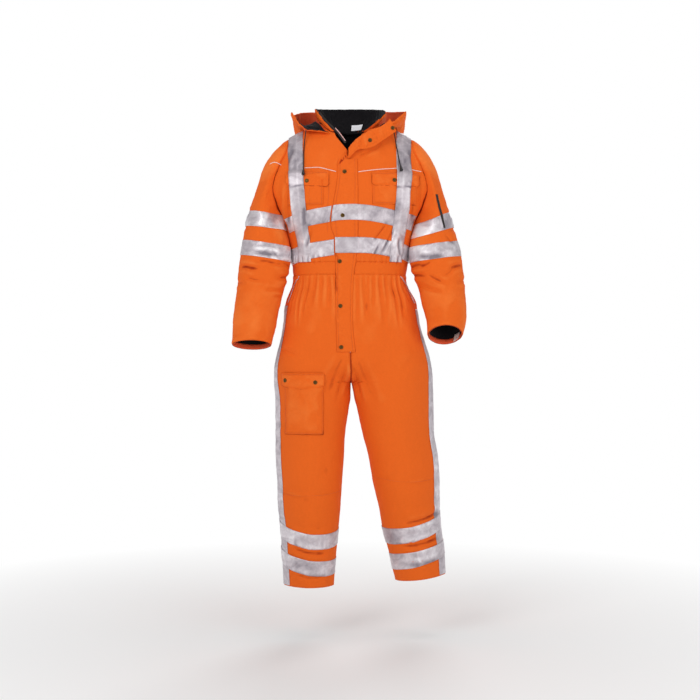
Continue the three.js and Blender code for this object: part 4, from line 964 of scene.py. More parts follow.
# Upper part of a torso panel: a quarter turn in height from the chest to the shoulder line
def torsoUpper(side, face, reach, turn):
    reach, turn = np.broadcast_arrays(np.asarray(reach, float), np.asarray(turn, float))
    middle = mix(centreX(chestZ), centreX(0), np.clip(turn / 0.2, 0, 1))
    topX = mix(centreX(0), signs[side] * shoulderTipX, reach)
    opening = (neckZ(topX, face) - chestZ) / (shoulderZ(topX) - chestZ)
    topUp = np.where(np.abs(topX) >= neckHalf - 0.5, 1, np.clip(opening, 0, 1))
    up = np.sin(turn * np.arcsin(topUp))
    edge = np.full(turn.shape, float(shoulderTipX))
    for _ in range(20):
        edge = column(armholeTable, "out", mix(chestZ, shoulderZ(edge), np.sin(turn * math.pi / 2)))
    x = mix(middle, signs[side] * mix(edge, shoulderTipX, turn**8), reach)
    return onTrunk(x, mix(chestZ, shoulderZ(x), up), face)


# A whole torso panel: straight rows up to the chest, then the upper part
def torsoForm(side, face, columns=70, below=52, above=74):
    reach = np.sin(np.linspace(0, math.pi / 2, columns))**(2 / trunkRound)
    z = np.linspace(bandTopZ + 0.4, chestZ, below, endpoint=False)[:, None]
    lower = onTrunk(mix(centreX(z), signs[side] * panelEdge(z, side), reach), z, face)
    return np.concatenate([lower, torsoUpper(side, face, reach, np.linspace(0, 1, above)[:, None])])


torso = {"zipGap": 3.0, "gapReach": 60, "groove": 1.0}
for side in sides:
    form = torsoForm(side, -1)
    share = np.clip(1 - np.abs(form[..., 0] - centreX(form[..., 2])) / torso["gapReach"], 0, 1)
    form[..., 0] += signs[side] * torso["zipGap"] / 2 * share
    relief = bodyRelief(form, -1) + seamGroove(form, "last top", torso["groove"])
    cloth("front_" + side, form, relief, orange, (0, -1, 0), inner=fleece, tone=armholeTone(form))
backForm = np.concatenate([torsoForm("right", 1)[:, ::-1], torsoForm("left", 1)[:, 1:]], 1)
relief = bodyRelief(backForm, 1) + seamGroove(backForm, "first last top", torso["groove"])
cloth("back", backForm, relief, orange, (0, 1, 0), inner=fleece,
      tone=armholeTone(backForm) + armholeTone(backForm[:, ::-1])[:, ::-1])
print("torso ready")


# Waistband: a ring of elastic casing from the zip round to the zip

waistSet = {"from": -0.005, "to": 2 * math.pi - 0.031, "columns": 300, "rows": 12, "overlap": 1.4,
            "bulge": 0.7, "sunk": 1.1, "fuller": 1.25}


# Point of the trunk's section at an angle from the middle of the front
def ringPoint(angle, z):
    x = np.sign(np.sin(angle)) * np.abs(np.sin(angle))**(2 / trunkRound)
    x = x * np.where(x < 0, column(trunkTable, "right", z), column(trunkTable, "left", z))
    return np.where((np.cos(angle) > 0)[..., None], onTrunk(x, z, -1), onTrunk(x, z, 1))


angles, z = np.broadcast_arrays(
    np.linspace(waistSet["from"], waistSet["to"], waistSet["columns"])[None],
    np.linspace(bandBottomZ - waistSet["overlap"], bandTopZ + waistSet["overlap"],
                waistSet["rows"])[:, None])
form = ringPoint(angles, z)
bulge = waistSet["bulge"] * np.sin((z - bandBottomZ) / (bandTopZ - bandBottomZ) * math.pi)
relief = bodyRelief(form, -1) + bulge - waistSet["sunk"]
cloth("waistband", form, relief, orange, "loop", held="gathered", inner=fleece,
      slack=waistSet["fuller"])


# Trousers, and a dark tube below the placket that fills the slit where the two fronts meet, as painted
# shade in the seam

trouserSet = {"columns": 62, "above": 86, "below": 104, "topZ": -450.4, "gap": 0.25, "groove": 1.4,
              "hemGroove": 1.2, "hipPaintedLight": 1.0, "hipZ": -700, "hipOver": 90, "shinPaintedShade": 0.8,
              "shinZ": -780, "shinOver": 320}
seamShadeTube = {"from": -698, "to": -797, "radius": 3.0, "sunk": -3.4}
for side in sides:
    for face, word in ((-1, "front"), (1, "back")):
        z = np.concatenate([
            np.linspace(trouserSet["topZ"], crotchZ, trouserSet["above"], endpoint=False),
            np.linspace(crotchZ, hemZ[side], trouserSet["below"])])[:, None]
        turn = np.linspace(0, 1, trouserSet["columns"])[None]
        form = trousers(side, face, turn, z)
        form[:, 0, 0] += signs[side] * trouserSet["gap"]
        relief = bodyRelief(form, face)
        grooves = seamGroove(form, "first last", trouserSet["groove"], 5)
        relief = relief + grooves + seamGroove(form, "bottom", trouserSet["hemGroove"], 3, seed=9)
        name = "trouser_" + word + "_" + side
        z = form[..., 2]
        # Painted light on the hips and painted shade down the shins
        hip = smooth((z - trouserSet["hipZ"]) / trouserSet["hipOver"])
        shin = smooth((trouserSet["shinZ"] - z) / trouserSet["shinOver"])
        tone = trouserSet["hipPaintedLight"] * hip - trouserSet["shinPaintedShade"] * shin
        cloth(name, form, relief, orange, (0, face, 0), inner=fleece, tone=tone)
# A dark tube of painted shade along the centre seam
z = np.linspace(seamShadeTube["from"], seamShadeTube["to"], 40)
points, normals = frontSurface(centreX(z), z, seamShadeTube["sunk"])
tubeObject("centreSeamShade", points, seamShadeTube["radius"], shadedOrange, 10)
print("trousers ready")


# Sleeves: from the armhole seam over the cap and down, then hanging rings to the cuff

# Points of the armhole seam at given heights, read off the edges of the torso panels
def armholePoints(side, face, z):
    turn = np.linspace(0, 1, 160)[:, None]
    low = np.linspace(underarmZ, chestZ, 60, endpoint=False)[:, None]
    edge = np.concatenate([onTrunk(signs[side] * panelEdge(low, side), low, face),
                           torsoUpper(side, face, 1.0, turn)])[:, 0]
    return np.stack([np.interp(z, edge[:, 2], edge[:, k]) for k in range(3)], -1)


# Ellipse round the arm at a height, tilted so that its front drops or rises
def sleeveRing(side, angle, z):
    rows = sleeveTable[side]
    outer, inner = column(rows, "outer", z), column(rows, "inner", z)
    depth, tilt = column(rows, "depth", z), np.radians(column(rows, "tilt", z))
    x = (outer + inner) / 2 + (outer - inner) / 2 * np.cos(angle)
    y = column(rows, "y", z) - depth * np.sin(angle) * np.cos(tilt)
    return xyz(signs[side] * x, y, z + depth * np.sin(angle) * np.sin(tilt))


sleeveSet = {"girth": 72.0, "root": 7.0, "rootSunk": -6.0, "seamDepth": 3.2, "seamWidth": 5.5,
             "creaseWidth": 3.6, "creaseDepth": 2.5, "lowCrease": 4.5, "cap": 9.0, "capZ": -92,
             "capReach": 52, "fade": 0.45, "share": 0.8, "liningIn": 3.2, "liningRows": 21,
             "turnedIn": 4.8, "turnedRows": 4, "lowerTone": 1.8, "lowerFrom": -440, "lowerOver": 100}


# A whole sleeve: cubic lines from the armhole seam to the top ring with given end directions, one
# row before them that tucks under the body, then the rings down to the cuff.
def sleeveForm(side, columns=120, capRows=50, downRows=66):
    angle = np.linspace(0, 2 * math.pi, columns, endpoint=False)[None]
    top, low = shoulderZ(shoulderTipX), underarmZ
    seamZ = low + (top - low) * (1 + np.cos(angle)) / 2
    seam = np.where((angle < math.pi)[..., None], armholePoints(side, -1, seamZ),
                    armholePoints(side, 1, seamZ))
    cap = (1 + np.cos(angle)) / 2
    start = xyz(signs[side] * mix(12, 220, cap), -45 * np.sin(angle) - 12 * (1 - cap),
                mix(-45, -120, cap))
    end = sleeveRing(side, angle, np.full(angle.shape, float(sleeveTopZ)))
    below = sleeveRing(side, angle, np.full(angle.shape, sleeveTopZ - 10.0))
    finish = unit(below - end) * mix(60, sleeveDown, cap)[..., None]
    s = np.linspace(0.004, 1, capRows)[:, None, None]
    upper = ((2 * s**3 - 3 * s**2 + 1) * seam + (s**3 - 2 * s**2 + s) * start
             + (3 * s**2 - 2 * s**3) * end + (s**3 - s**2) * finish)
    root = (seam - unit(start) * sleeveSet["root"]).reshape(upper[:1].shape)
    z = np.linspace(sleeveTopZ, sleeveTable[side]["z"][0], downRows + 1)[1:, None]
    lower = sleeveRing(side, np.broadcast_to(angle, (downRows, columns)),
                       np.broadcast_to(z, (downRows, columns)))
    return np.concatenate([root, upper, lower])


# Wrinkles of the sleeves in the front view, those behind as they are on the wearer's left, and short
# ones round the arm, placed by angle in millimetres of girth and by height
backFolds = [
    ((330, -400), (280, -430), (214, -410), 10, 4.6), ((344, -440), (290, -462), (206, -450), 10, 4.6),
    ((340, -490), (290, -500), (216, -486), 10, 3.8), ((240, -190), (270, -260), (300, -350), 14, 4.0),
    ((300, -540), (310, -600), (300, -660), 16, 2.6),
]
sleeveFolds = {
    "right": {
        "front": [((-304, -408), (-256, -404), (-206, -428), 8, 4.6),
                  ((-350, -424), (-318, -420), (-276, -442), 8, 4.4),
                  ((-338, -452), (-300, -476), (-252, -470), 8, 4.2),
                  ((-276, -502), (-240, -496), (-204, -506), 8, 3.4),
                  ((-244, -522), (-226, -516), (-202, -522), 7, 3.0),
                  ((-322, -372), (-270, -392), (-208, -388), 9, 3.6),
                  ((-318, -378), (-264, -362), (-214, -384), 7, -2.4),
                  ((-262, -120), (-284, -200), (-262, -286), 16, 4.0),
                  ((-222, -210), (-246, -262), (-262, -330), 12, 3.6),
                  ((-330, -540), (-320, -590), (-344, -650), 14, 2.4),
                  ((-262, -560), (-276, -610), (-272, -664), 12, 2.6),
                  ((-300, -200), (-318, -260), (-304, -320), 18, 2.2)],
        "ring": [(-60, -410), (60, -432), (-40, -456), (30, -480), (190, -420), (210, -462),
                 (-20, -250), (20, -300)],
    },
    "left": {
        "front": [((216, -428), (236, -424), (262, -404), 8, 4.4),
                  ((238, -448), (272, -470), (312, -484), 8, 4.6),
                  ((222, -482), (252, -504), (296, -506), 8, 4.0),
                  ((208, -392), (250, -402), (300, -390), 9, 3.6),
                  ((262, -116), (282, -196), (262, -280), 16, 3.6),
                  ((222, -214), (240, -262), (250, -330), 12, 3.4),
                  ((300, -318), (320, -350), (338, -352), 9, 3.0),
                  ((330, -430), (316, -450), (286, -456), 8, 3.4),
                  ((268, -540), (280, -590), (276, -640), 13, 2.6),
                  ((320, -520), (338, -570), (326, -620), 14, 2.4),
                  ((306, -170), (322, -230), (312, -290), 18, 2.0)],
        "ring": [(-60, -404), (50, -426), (-40, -452), (34, -474), (190, -424), (206, -456),
                 (-24, -256), (20, -306)],
    },
}


# Relief of a sleeve: soft unevenness, the front or back wrinkles of the point's own side, and short
# creases that cross the outer (0) and inner (226) sides.
def sleeveRelief(side, points, angle):
    x, y, z = points[..., 0], points[..., 1], points[..., 2]
    rows = sleeveFolds[side]
    girth = np.where(angle > math.pi, angle - 2 * math.pi, angle) * sleeveSet["girth"]
    soft = 1.4 * unevenness(x + 0.8 * y, z, 110, 21) + 0.5 * unevenness(x + 0.8 * y, z, 38, 22)
    front = folds(x, z, graded(rows["front"])) * (np.sin(angle) > 0)
    back = folds(signs[side] * x, z, graded(backFolds)) * (np.sin(angle) < 0)
    fade = smooth(np.abs(np.sin(angle)) / sleeveSet["fade"])
    total = soft + sleeveSet["share"] * (front + back) * fade
    cap = np.exp(-((z - sleeveSet["capZ"]) / sleeveSet["capReach"])**2)
    total = total + sleeveSet["cap"] * cap * np.maximum(0, np.cos(angle))
    inner = np.maximum(0, -np.cos(angle))**2
    total = total + underarm["sleeve"] * np.exp(-((z - underarm["z"]) / underarm["reach"])**2) * inner
    rng = np.random.default_rng(7)
    for s, at in rows["ring"]:
        lean, reach, depth = rng.uniform(-14, 14), rng.uniform(34, 60), rng.uniform(3.0, 5.0)
        row = [((s - reach, at - lean), (s, at + 5), (s + reach, at + lean), 7, depth)]
        total = total + folds(girth, z, row) + (folds(girth + sleeveSet["girth"] * 2 * math.pi, z, row)
                                                if s > 120 else 0)
    return total


sleeves = {}
for side in sides:
    form = sleeveForm(side)
    angle = np.broadcast_to(np.linspace(0, 2 * math.pi, form.shape[1], endpoint=False), form.shape[:2])
    relief = sleeveRelief(side, form, angle)
    away = np.maximum(lengths(form, 0) - sleeveSet["root"], 0)
    low = smooth((-np.cos(angle) + 0.55) / 0.9)  # from the outer side to the underarm
    seam = -sleeveSet["seamDepth"] * np.exp(-(away / sleeveSet["seamWidth"])**2) * (1 - 0.55 * low)
    seam[0] = sleeveSet["rootSunk"]
    # Painted shade in the crease along the armhole seam, deeper towards the underarm
    creaseShade = -(sleeveSet["creaseDepth"] + sleeveSet["lowCrease"] * low)
    creaseShade = creaseShade * np.exp(-(away / sleeveSet["creaseWidth"])**2)
    # Painted light on the lower sleeve
    lower = smooth((sleeveSet["lowerFrom"] - form[..., 2]) / sleeveSet["lowerOver"])
    hem = seamGroove(form, "top", 1.2, 3.0)
    sleeves[side] = {"form": form, "relief": relief + hem, "angle": angle}
    cloth("sleeve_" + side, form, relief + seam + hem, orange, "loop", closed=True,
          inner=fleece, tone=creaseShade + sleeveSet["lowerTone"] * lower)
    normals = outward(form, "loop", True)
    rows = slice(-sleeveSet["liningRows"], None)
    inside = (form + normals * (relief - sleeveSet["liningIn"])[..., None])[rows]
    piece = gridObject("cuffLining" + side.capitalize() + "Piece", inside, -normals[rows], fleece, True,
                       None, 1.0)
    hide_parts("cuff_lining_" + side)
    width, length, area = cutSize(inside, True)
    rows = slice(-sleeveSet["turnedRows"], None)
    turned = (form + normals * (relief - sleeveSet["turnedIn"])[..., None])[rows]
    gridObject("cuffTurning" + side.capitalize(), turned, -normals[rows], orangeInside, True, None, 0.8)
print("sleeves ready")


# Collar: from the neck edge of the panels to its top edge, leaning out, with a soft bulge

collarTop = [(-106, -72, 66), (-111, -44, 80), (-113, 2, 90), (-94, 46, 97), (-58, 70, 101),
             (0, 78, 103),
             (58, 70, 101), (93, 46, 96), (108, 2, 87), (117, -40, 72), (112, -66, 57)]
collarAngles = [10.6, 17.8, 24.8, 17.8, 10.6, 0, 10.6, 17.8, 24.8, 17.8, 10.6]
collarSet = {"columns": 220, "rows": 20, "bulge": 5, "groove": 1.8, "liningIn": 3.4, "liningBelow": 1.6}


# Point of the panels' neck edge, u counting the collar's marks from one front end to the other
def neckEdge(u):
    angle = np.radians(np.interp(u, np.arange(11), collarAngles))
    face = np.where((u < 2) | (u > 8), -1, 1)
    sign = np.where(u < 5, -1, 1)
    x = mix(centreX(0), sign * shoulderTipX, np.sin(angle)**(2 / trunkRound))
    front, back = neckZ(x, -1), neckZ(x, 1)
    z = np.where(face < 0, front, back)
    y = np.where(face < 0, trunkY(x, z, -1), trunkY(x, z, 1))
    return xyz(x, y, z)


# Straight lines from the neck edge to the collar's top edge, pushed out by half a sine wave
def collarForm(u, up):
    rows = table("u x y z", [(k, *p) for k, p in enumerate(collarTop)])
    top = xyz(column(rows, "x", u), column(rows, "y", u), column(rows, "z", u))
    seam = neckEdge(u)
    base = seam + unit(top - seam) * 0.5
    away = unit(top * [1, 1, 0])
    bulge = collarSet["bulge"] * np.sin(up * math.pi)
    return mix(base, top, up[..., None]) + away * bulge[..., None]


u, up = np.broadcast_arrays(np.linspace(0, 10, collarSet["columns"])[None],
                            np.linspace(0, 1, collarSet["rows"])[:, None])
form = collarForm(u, up)
collarNormals = outward(form, "loop")
around = lengths(form, 1)
collarRelief = (1.6 * unevenness(around, 60 * up, 46, 41) * np.sin(up * math.pi / 2)
                + 1.0 * unevenness(around, 20 * up, 18, 42) * (0.3 + 0.7 * up))
relief = collarRelief + seamGroove(form, "bottom first last top", collarSet["groove"], 4)
cloth("collar", form, relief, orange, "loop", inner=fleece, thick=2.6)
inside = form + collarNormals * (collarRelief - collarSet["liningIn"])[..., None]
pile = 0.8 * unevenness(around, 60 * up, 24, 43)
# The lining starts one row below the neck seam and covers it
below = inside[:1] * (1 + collarSet["liningBelow"]) - inside[1:2] * collarSet["liningBelow"]
inside, pile = np.concatenate([below, inside]), np.concatenate([pile[:1], pile])
cloth("collar_lining", inside, pile, fleece, "loop", "lining", thick=1.4)
print("collar ready")


# Hood, folded open behind the neck: each section runs from the neck seam down into the pouch and up
# to the rim, and the sections follow one another round the neck.

hoodSections = [
    [(-64.6, -73.1, -4), (-93, -76, 4), (-115, -71, 6), (-131, -67, 7), (-143, -63, 11)],
    [(-74.8, -64.6, 4), (-108, -63, 11), (-136, -57, 14), (-156, -53, 24), (-169, -49, 40)],
    [(-91.7, -51.5, 26), (-124, -42, 25), (-152, -34, 27), (-175, -28, 46), (-190, -24, 74)],
    [(-107.5, -7.6, 47), (-136, 16, 34), (-162, 30, 28), (-184, 38, 48), (-187, 38, 78)],
    [(-82, 41.7, 33.7), (-116, 92, -4), (-150, 124, -40), (-172, 138, 20), (-152, 122, 103)],
    [(-43, 56.3, 25.4), (-64, 112, -56), (-86, 138, -135), (-98, 192, -40), (-84, 176, 109)],
    [(-0.8, 61, 21.6), (0, 116, -80), (0, 136, -188), (0, 208, -76), (0, 196, 82)],
    [(43, 56.3, 25.4), (64, 112, -56), (86, 138, -135), (98, 192, -40), (84, 176, 111)],
    [(82.8, 43.3, 35.5), (116, 92, -4), (150, 124, -40), (170, 138, 20), (152, 122, 105)],
    [(106.6, -9.7, 40.8), (136, 16, 32), (160, 30, 28), (178, 36, 50), (183, 36, 89)],
    [(92.4, -50.5, 22.2), (124, -44, 22), (148, -34, 27), (166, -26, 46), (180, -20, 76)],
    [(80.5, -63.3, 1), (108, -63, 14), (132, -57, 20), (148, -51, 34), (160, -45, 56)],
    [(69.6, -73.5, -4.3), (96, -77, 8), (114, -72, 16), (128, -67, 25), (139, -62, 38)],
]
hoodSet = {"rows": 64, "columns": 200, "linedTo": 0.86, "linedFrom": 0.03, "liningIn": 4.4,
           "liningSides": 3, "groove": 1.6, "levelFor": 40}


# Smooth surface through a grid of points: cubic along the rows, then along the columns
def throughGrid(points, rows, cols):
    points = np.asarray(points, float)
    first = np.stack([through(line, cols) for line in points])
    return np.stack([through(first[:, j], rows) for j in range(cols)], 1)


form = throughGrid(np.transpose(hoodSections, (1, 0, 2)), hoodSet["rows"], hoodSet["columns"])
hoodNormals = outward(form, form - (form.mean(0, keepdims=True) * 0.6 + form[-1:] * 0.4))
across, along = lengths(form, 1), lengths(form, 0)
relief = (2.4 * unevenness(across, along, 90, 51) + 1.2 * unevenness(across, along, 36, 52)
          + 1.6 * crumple(across, along, 70, 53)) * smooth(along / hoodSet["levelFor"])
relief = relief + seamGroove(form, "top first last", hoodSet["groove"], 4)
cloth("hood", form, relief, orange, hoodNormals, held="folded", inner=orangeInside, thick=2.4)
lined = (slice(int(hoodSet["linedFrom"] * hoodSet["rows"]), int(hoodSet["linedTo"] * hoodSet["rows"])),
         slice(hoodSet["liningSides"], -hoodSet["liningSides"]))
inside = (form + hoodNormals * (relief - hoodSet["liningIn"])[..., None])[lined]
pile = 0.6 * unevenness(across, along, 20, 54)[lined]
cloth("hood_lining", inside, pile, fleece, -hoodNormals[lined], "lining", thick=1.2, held="folded")
print("hood ready")


# Overlays on the front: a grid of places in the front view, raised by the cloth's own relief

lifts = {"tape": 1.4, "pocket": 2.2, "thigh": 1.2, "flap": 4.4, "thighFlap": 2.2, "placket": 3.4,
         "overPlacket": 4.5}


# Grid over a patch of the front view, place giving x and z from s across and t up
def frontPatch(columns, rows, place):
    s, t = np.broadcast_arrays(np.linspace(0, 1, columns)[None], np.linspace(0, 1, rows)[:, None])
    x, z = place(s, t)
    return frontBase(*np.broadcast_arrays(x, z))


# A piece sewn on the front: the cloth's own relief there, plus its extra relief and its lift
def onFront(name, form, lift, thick, extra, on, tone):
    relief = bodyRelief(form, -1) + extra
    cloth(name, form, relief, orange, (0, -1, 0), thick=thick, lift=lift, on=on, tone=tone)


# Placket: the storm flap over the front zip, with rounded edges and a slightly wavy free edge
placketTable = table("z free stitched", [
    (-88, -38, 24), (-160, -41, 25), (-230, -53, 26), (-300, -60, 26), (-345, -46, 25), (-412, -46, 19),
    (-450, -46, 13), (-520, -46, 10), (-620, -43, 10), (-696, -41, 18),
])
placketSet = {"columns": 26, "rows": 220, "bottom": -696, "top": -88, "freeStitch": 0.12,
              "sewnStitch": 0.86, "edge": 0.035, "stitch": 0.03, "tone": 1.8, "shadowBelow": -150}


# From the free edge at s = 0 to the sewn edge at s = 1, and from bottom to top
def placketPlace(s, t):
    z = mix(placketSet["bottom"], placketSet["top"], t)
    return mix(column(placketTable, "free", z), column(placketTable, "stitched", z), s), z


form = frontPatch(placketSet["columns"], placketSet["rows"], placketPlace)
s, t = np.linspace(0, 1, placketSet["columns"])[None], np.linspace(0, 1, placketSet["rows"])[:, None]
edge = (-2.0 * np.exp(-(s / placketSet["edge"])**2) - 2.2 * np.exp(-((1 - s) / placketSet["edge"])**2))
stitchedRows = (-0.9 * np.exp(-((s - placketSet["freeStitch"]) / placketSet["stitch"])**2)
                - 0.7 * np.exp(-((s - placketSet["sewnStitch"]) / placketSet["stitch"])**2))
up = t * (placketSet["top"] - placketSet["bottom"])
wave = (1.5 * unevenness(up, 40 * s, 70, 61) * (0.4 + 0.6 * (1 - s))
        + 0.7 * unevenness(up, 60 * s, 24, 62))
# The placket, with a painted shadow along its edges below the chest
onFront("placket", form, lifts["placket"], thick=2.0, extra=edge + stitchedRows + wave,
        on=["front_left"],
        tone=edgeTone(form, placketSet["tone"]) * (form[..., 2] < placketSet["shadowBelow"]))


# Open top end of the storm flap, folded out over the wearer's left front
flapEndRows = [
    [(-4, -107, -50), (-6, -110.9, -87.4)], [(19, -112, -25), (22, -113, -60)],
    [(41, -107, -10), (48, -109, -56)], [(63, -102, 6), (75, -104, -48)],
    [(95, -95, 17), (100, -98, -30)], [(115, -91, 31), (124, -94, -13)],
    [(126, -89, 44), (147, -92, 3)],
]
flapEndSet = {"columns": 90, "rows": 34, "length": 165, "height": 46, "bulge": 5,
              "folds": [((38, 6), (50, 22), (44, 44), 6, 2.4), ((96, 4), (90, 22), (104, 42), 7, 2.2)]}
along = through([np.ravel(row) for row in flapEndRows], flapEndSet["columns"])
down = np.linspace(0, 1, flapEndSet["rows"])[:, None]
form = mix(along[None, :, :3], along[None, :, 3:], down[..., None])
form[..., 1] -= flapEndSet["bulge"] * np.sin(down * math.pi)
run, drop = np.broadcast_arrays(np.linspace(0, flapEndSet["length"], flapEndSet["columns"])[None],
                                flapEndSet["height"] * down)
relief = (1.5 * unevenness(run, drop, 60, 64) + 0.8 * unevenness(run, drop, 22, 65)
          + folds(run, drop, flapEndSet["folds"])
          - 1.6 * np.exp(-(down / 0.06)**2) - 1.2 * np.exp(-((down - 0.86) / 0.03)**2))
flapEnd = {"form": form, "relief": relief}
cloth("flap_end", form, relief, orange, (0, -1, 0), thick=2.6, lift=1.0, held="folded",
      on=["front_left"], inner=orangeInside)


# Open zip along the wearer's right edge of the neck opening, and a dark facing strip beside it with a
# pale piping low down. A strip is the edge's line moved sideways, square to its own direction.
def openingStrip(name, start, stop, material, slot, thick):
    low = mix(neckEdge(np.array(0.0)), onTrunk(centreX(0), neckZ(centreX(0), -1), -1), 0.65)
    collarEdge = collarForm(np.zeros(2), np.array([0.5, 0.9]))
    path = through([low, neckEdge(np.array(0.0)), *collarEdge], 60)
    forward = unit(np.gradient(path, axis=0))
    away = unit(xyz(forward[:, 2], 0 * forward[:, 2], -forward[:, 0]))
    form = path[:, None] + away[:, None] * np.linspace(start, stop, 5)[None, :, None]
    cloth(name, form, 0.0, material, (0, -1, 0), slot, thick)
    return form


openingSet = {"zip": (4.6, 10.4), "facing": (10.6, 13.8), "thick": 0.8, "pitch": 2.2,
              "piping": (2, 24), "pipingRadius": 1.5, "pipingOut": 1.2}
zipForm = openingStrip("front_zip", *openingSet["zip"], zipCloth, "zip", openingSet["thick"])
facingForm = openingStrip("zip_facing", *openingSet["facing"], fleece, "tape", openingSet["thick"])
low = slice(*openingSet["piping"])
tubeObject("facingPiping", facingForm[low, 1] + [0, -openingSet["pipingOut"], 0],
           openingSet["pipingRadius"], facingTape)
toothPath = evenly(zipForm[:, 3], openingSet["pitch"])
toothCorners = [(-0.7, -1.8, 0), (0.7, -1.8, 0), (0.7, 1.8, 0), (-0.7, 1.8, 0),
                (-0.5, -1.5, 1.1), (0.5, -1.5, 1.1), (0.5, 1.5, 1.1), (-0.5, 1.5, 1.1)]
toothFaces = [(0, 3, 2, 1), (4, 5, 6, 7), (0, 1, 5, 4), (1, 2, 6, 5), (2, 3, 7, 6), (3, 0, 4, 7)]


# A block on each point of a path, square to the path and to the cloth
def teeth(name, path, normal, material):
    along = unit(np.gradient(path, axis=0))
    across = unit(np.cross(normal, along))
    stampObject(name, toothCorners, toothFaces, path, along, across, unit(np.cross(along, across)),
                material)


teeth("frontZipTeeth", toothPath, np.array([0, -1.0, 0]), zipMetal)
print("placket ready")


# Chest pockets with their flaps, and the thigh pocket with its flap

# A patch's own relief: it rises by a soft step in from its edges, with a sunk row of stitches
def pillow(form, height, edge, groove=0.9, inset=5.0):
    near = edgeAway(form, False)
    return (height * smooth(near / edge) - 1.3 * np.exp(-(near / 1.6)**2)
            - groove * np.exp(-((near - inset) / 1.3)**2))


chestPockets = {"right": (-198, -84, -234, -150), "left": (70, 210, -232, -150)}
chestFlaps = {"right": (-203, -66, -178, -170, -129), "left": (68, 222, -174, -174, -131)}
chestSet = {"thick": 1.6, "rise": 1.2, "riseOver": 18, "tone": 1.6, "flapRise": 1.4, "flapOver": 12,
            "flapTone": 4.0, "flapShadowBelow": -134, "corner": 9, "cornerReach": 0.075,
            "slotX": -87, "slotWidth": 1.5, "slotDepth": 3.4, "slotBelow": -152}
for side in sides:
    x0, x1, z0, z1 = chestPockets[side]
    form = frontPatch(60, 36, lambda s, t: (mix(x0, x1, s), mix(z0, z1, t)))
    extra = pillow(form, chestSet["rise"], chestSet["riseOver"])
    extra = extra + 0.5 * unevenness(form[..., 0], form[..., 2], 34, 66)
    # Painted shadow along the pocket's edges
    onFront("chest_pocket_" + side, form, lifts["pocket"], thick=chestSet["thick"], extra=extra,
            on=["front_" + side], tone=edgeTone(form, chestSet["tone"]))
    x0, x1, inner, outer, top = chestFlaps[side]

    # Lower edge with rounded corners, a little lower at the inner end on the wearer's right
    def flapPlace(s, t):
        x = mix(x0, x1, s)
        low = mix(inner, outer, np.clip((np.abs(x) - 66) / 140, 0, 1))
        corner = np.clip(1 - np.minimum(s, 1 - s) / chestSet["cornerReach"], 0, 1)**2
        return x, mix(low + chestSet["corner"] * corner, top, t)

    form = frontPatch(84, 32, flapPlace)
    extra = pillow(form, chestSet["flapRise"], chestSet["flapOver"])
    extra = extra + 0.9 * unevenness(form[..., 0], form[..., 2], 46, 67)
    if side == "right":  # the slot for a pen
        slot = np.exp(-((form[..., 0] - chestSet["slotX"]) / chestSet["slotWidth"])**2)
        extra = extra - chestSet["slotDepth"] * slot * smooth(
            (chestSet["slotBelow"] - form[..., 2]) / 5)
    # Painted shadow along the flap's lower edge
    tone = edgeTone(form, chestSet["flapTone"]) * smooth((chestSet["flapShadowBelow"] - form[..., 2]) / 8)
    onFront("chest_flap_" + side, form, lifts["flap"], thick=chestSet["thick"], extra=extra,
            on=["chest_pocket_" + side], tone=tone)

thighSet = {"x": (-206, -84), "z": (-958, -786), "flapX": (-214, -82), "flapZ": (-814, -763),
            "flapMiddle": -148, "flapHalf": 66, "flapRise": 12, "thick": 1.8, "tone": 3.5,
            "shadowBelow": -940, "toneAll": 1.4, "flapTone": 4.5, "flapShadowBelow": -772}
form = frontPatch(56, 76, lambda s, t: (mix(*thighSet["x"], s), mix(*thighSet["z"], t)))
# Painted shadow along the pocket's edges, strongest at its bottom; the whole pocket is also a little
# darker
bottom = smooth((thighSet["shadowBelow"] - form[..., 2]) / 8)
onFront("thigh_pocket", form, lifts["pocket"] + lifts["thigh"], thick=thighSet["thick"],
        extra=pillow(form, 2.6, 26) + 0.9 * unevenness(form[..., 0], form[..., 2], 52, 68),
        on=["trouser_front_right"],
        tone=edgeTone(form, thighSet["tone"]) * (0.35 + 0.65 * bottom) - thighSet["toneAll"])


# The flap's lower edge rises towards its ends with the cube of the distance from its middle
def thighFlapPlace(s, t):
    x = mix(*thighSet["flapX"], s)
    rise = thighSet["flapRise"] * np.abs((x - thighSet["flapMiddle"]) / thighSet["flapHalf"])**3
    return x, mix(thighSet["flapZ"][0] + rise, thighSet["flapZ"][1], t)


form = frontPatch(64, 34, thighFlapPlace)
# Painted shadow along the flap's lower edge
onFront("thigh_flap", form, lifts["flap"] + lifts["thighFlap"], thick=thighSet["thick"],
        extra=pillow(form, 1.6, 12) + 0.8 * unevenness(form[..., 0], form[..., 2], 40, 69),
        on=["thigh_pocket"],
        tone=edgeTone(form, thighSet["flapTone"])
        * smooth((thighSet["flapShadowBelow"] - form[..., 2]) / 6))
print("pockets ready")


# Reflective tape

tapeSet = {"thick": 0.5, "stitchIn": 3.0, "stitchDrop": 0.5, "stitchWidth": 1.2, "pucker": 0.5,
           "puckerSize": 17, "puckerReach": 9}


# Distance to the nearer long edge of a tape, and the sunk row of stitches beside that edge
def tapeStitch(form, axis):
    across = lengths(form, axis)
    far = across[-1:] if axis == 0 else across[:, -1:]
    near = np.minimum(across, far - across)
    sunk = np.exp(-((near - tapeSet["stitchIn"]) / tapeSet["stitchWidth"])**2)
    return near, tapeSet["stitchDrop"] * sunk


# Relief of a band: sunk stitched edges, small crumples, and puckers that grow towards the edges
def tapeOwn(form, height, seed):
    near, sunk = tapeStitch(form, 0)
    pucker = unevenness(lengths(form, 1), 0 * near, tapeSet["puckerSize"], seed + 3)
    return (tapeRelief(form, 36, height, seed) - sunk
            + tapeSet["pucker"] * pucker * np.exp(-near / tapeSet["puckerReach"]))


# A length of tape at the tape's own lift
def tapeOn(name, form, relief, toward, **more):
    cloth(name, form, relief, tape, toward, "tape", tapeSet["thick"], lifts["tape"], **more)


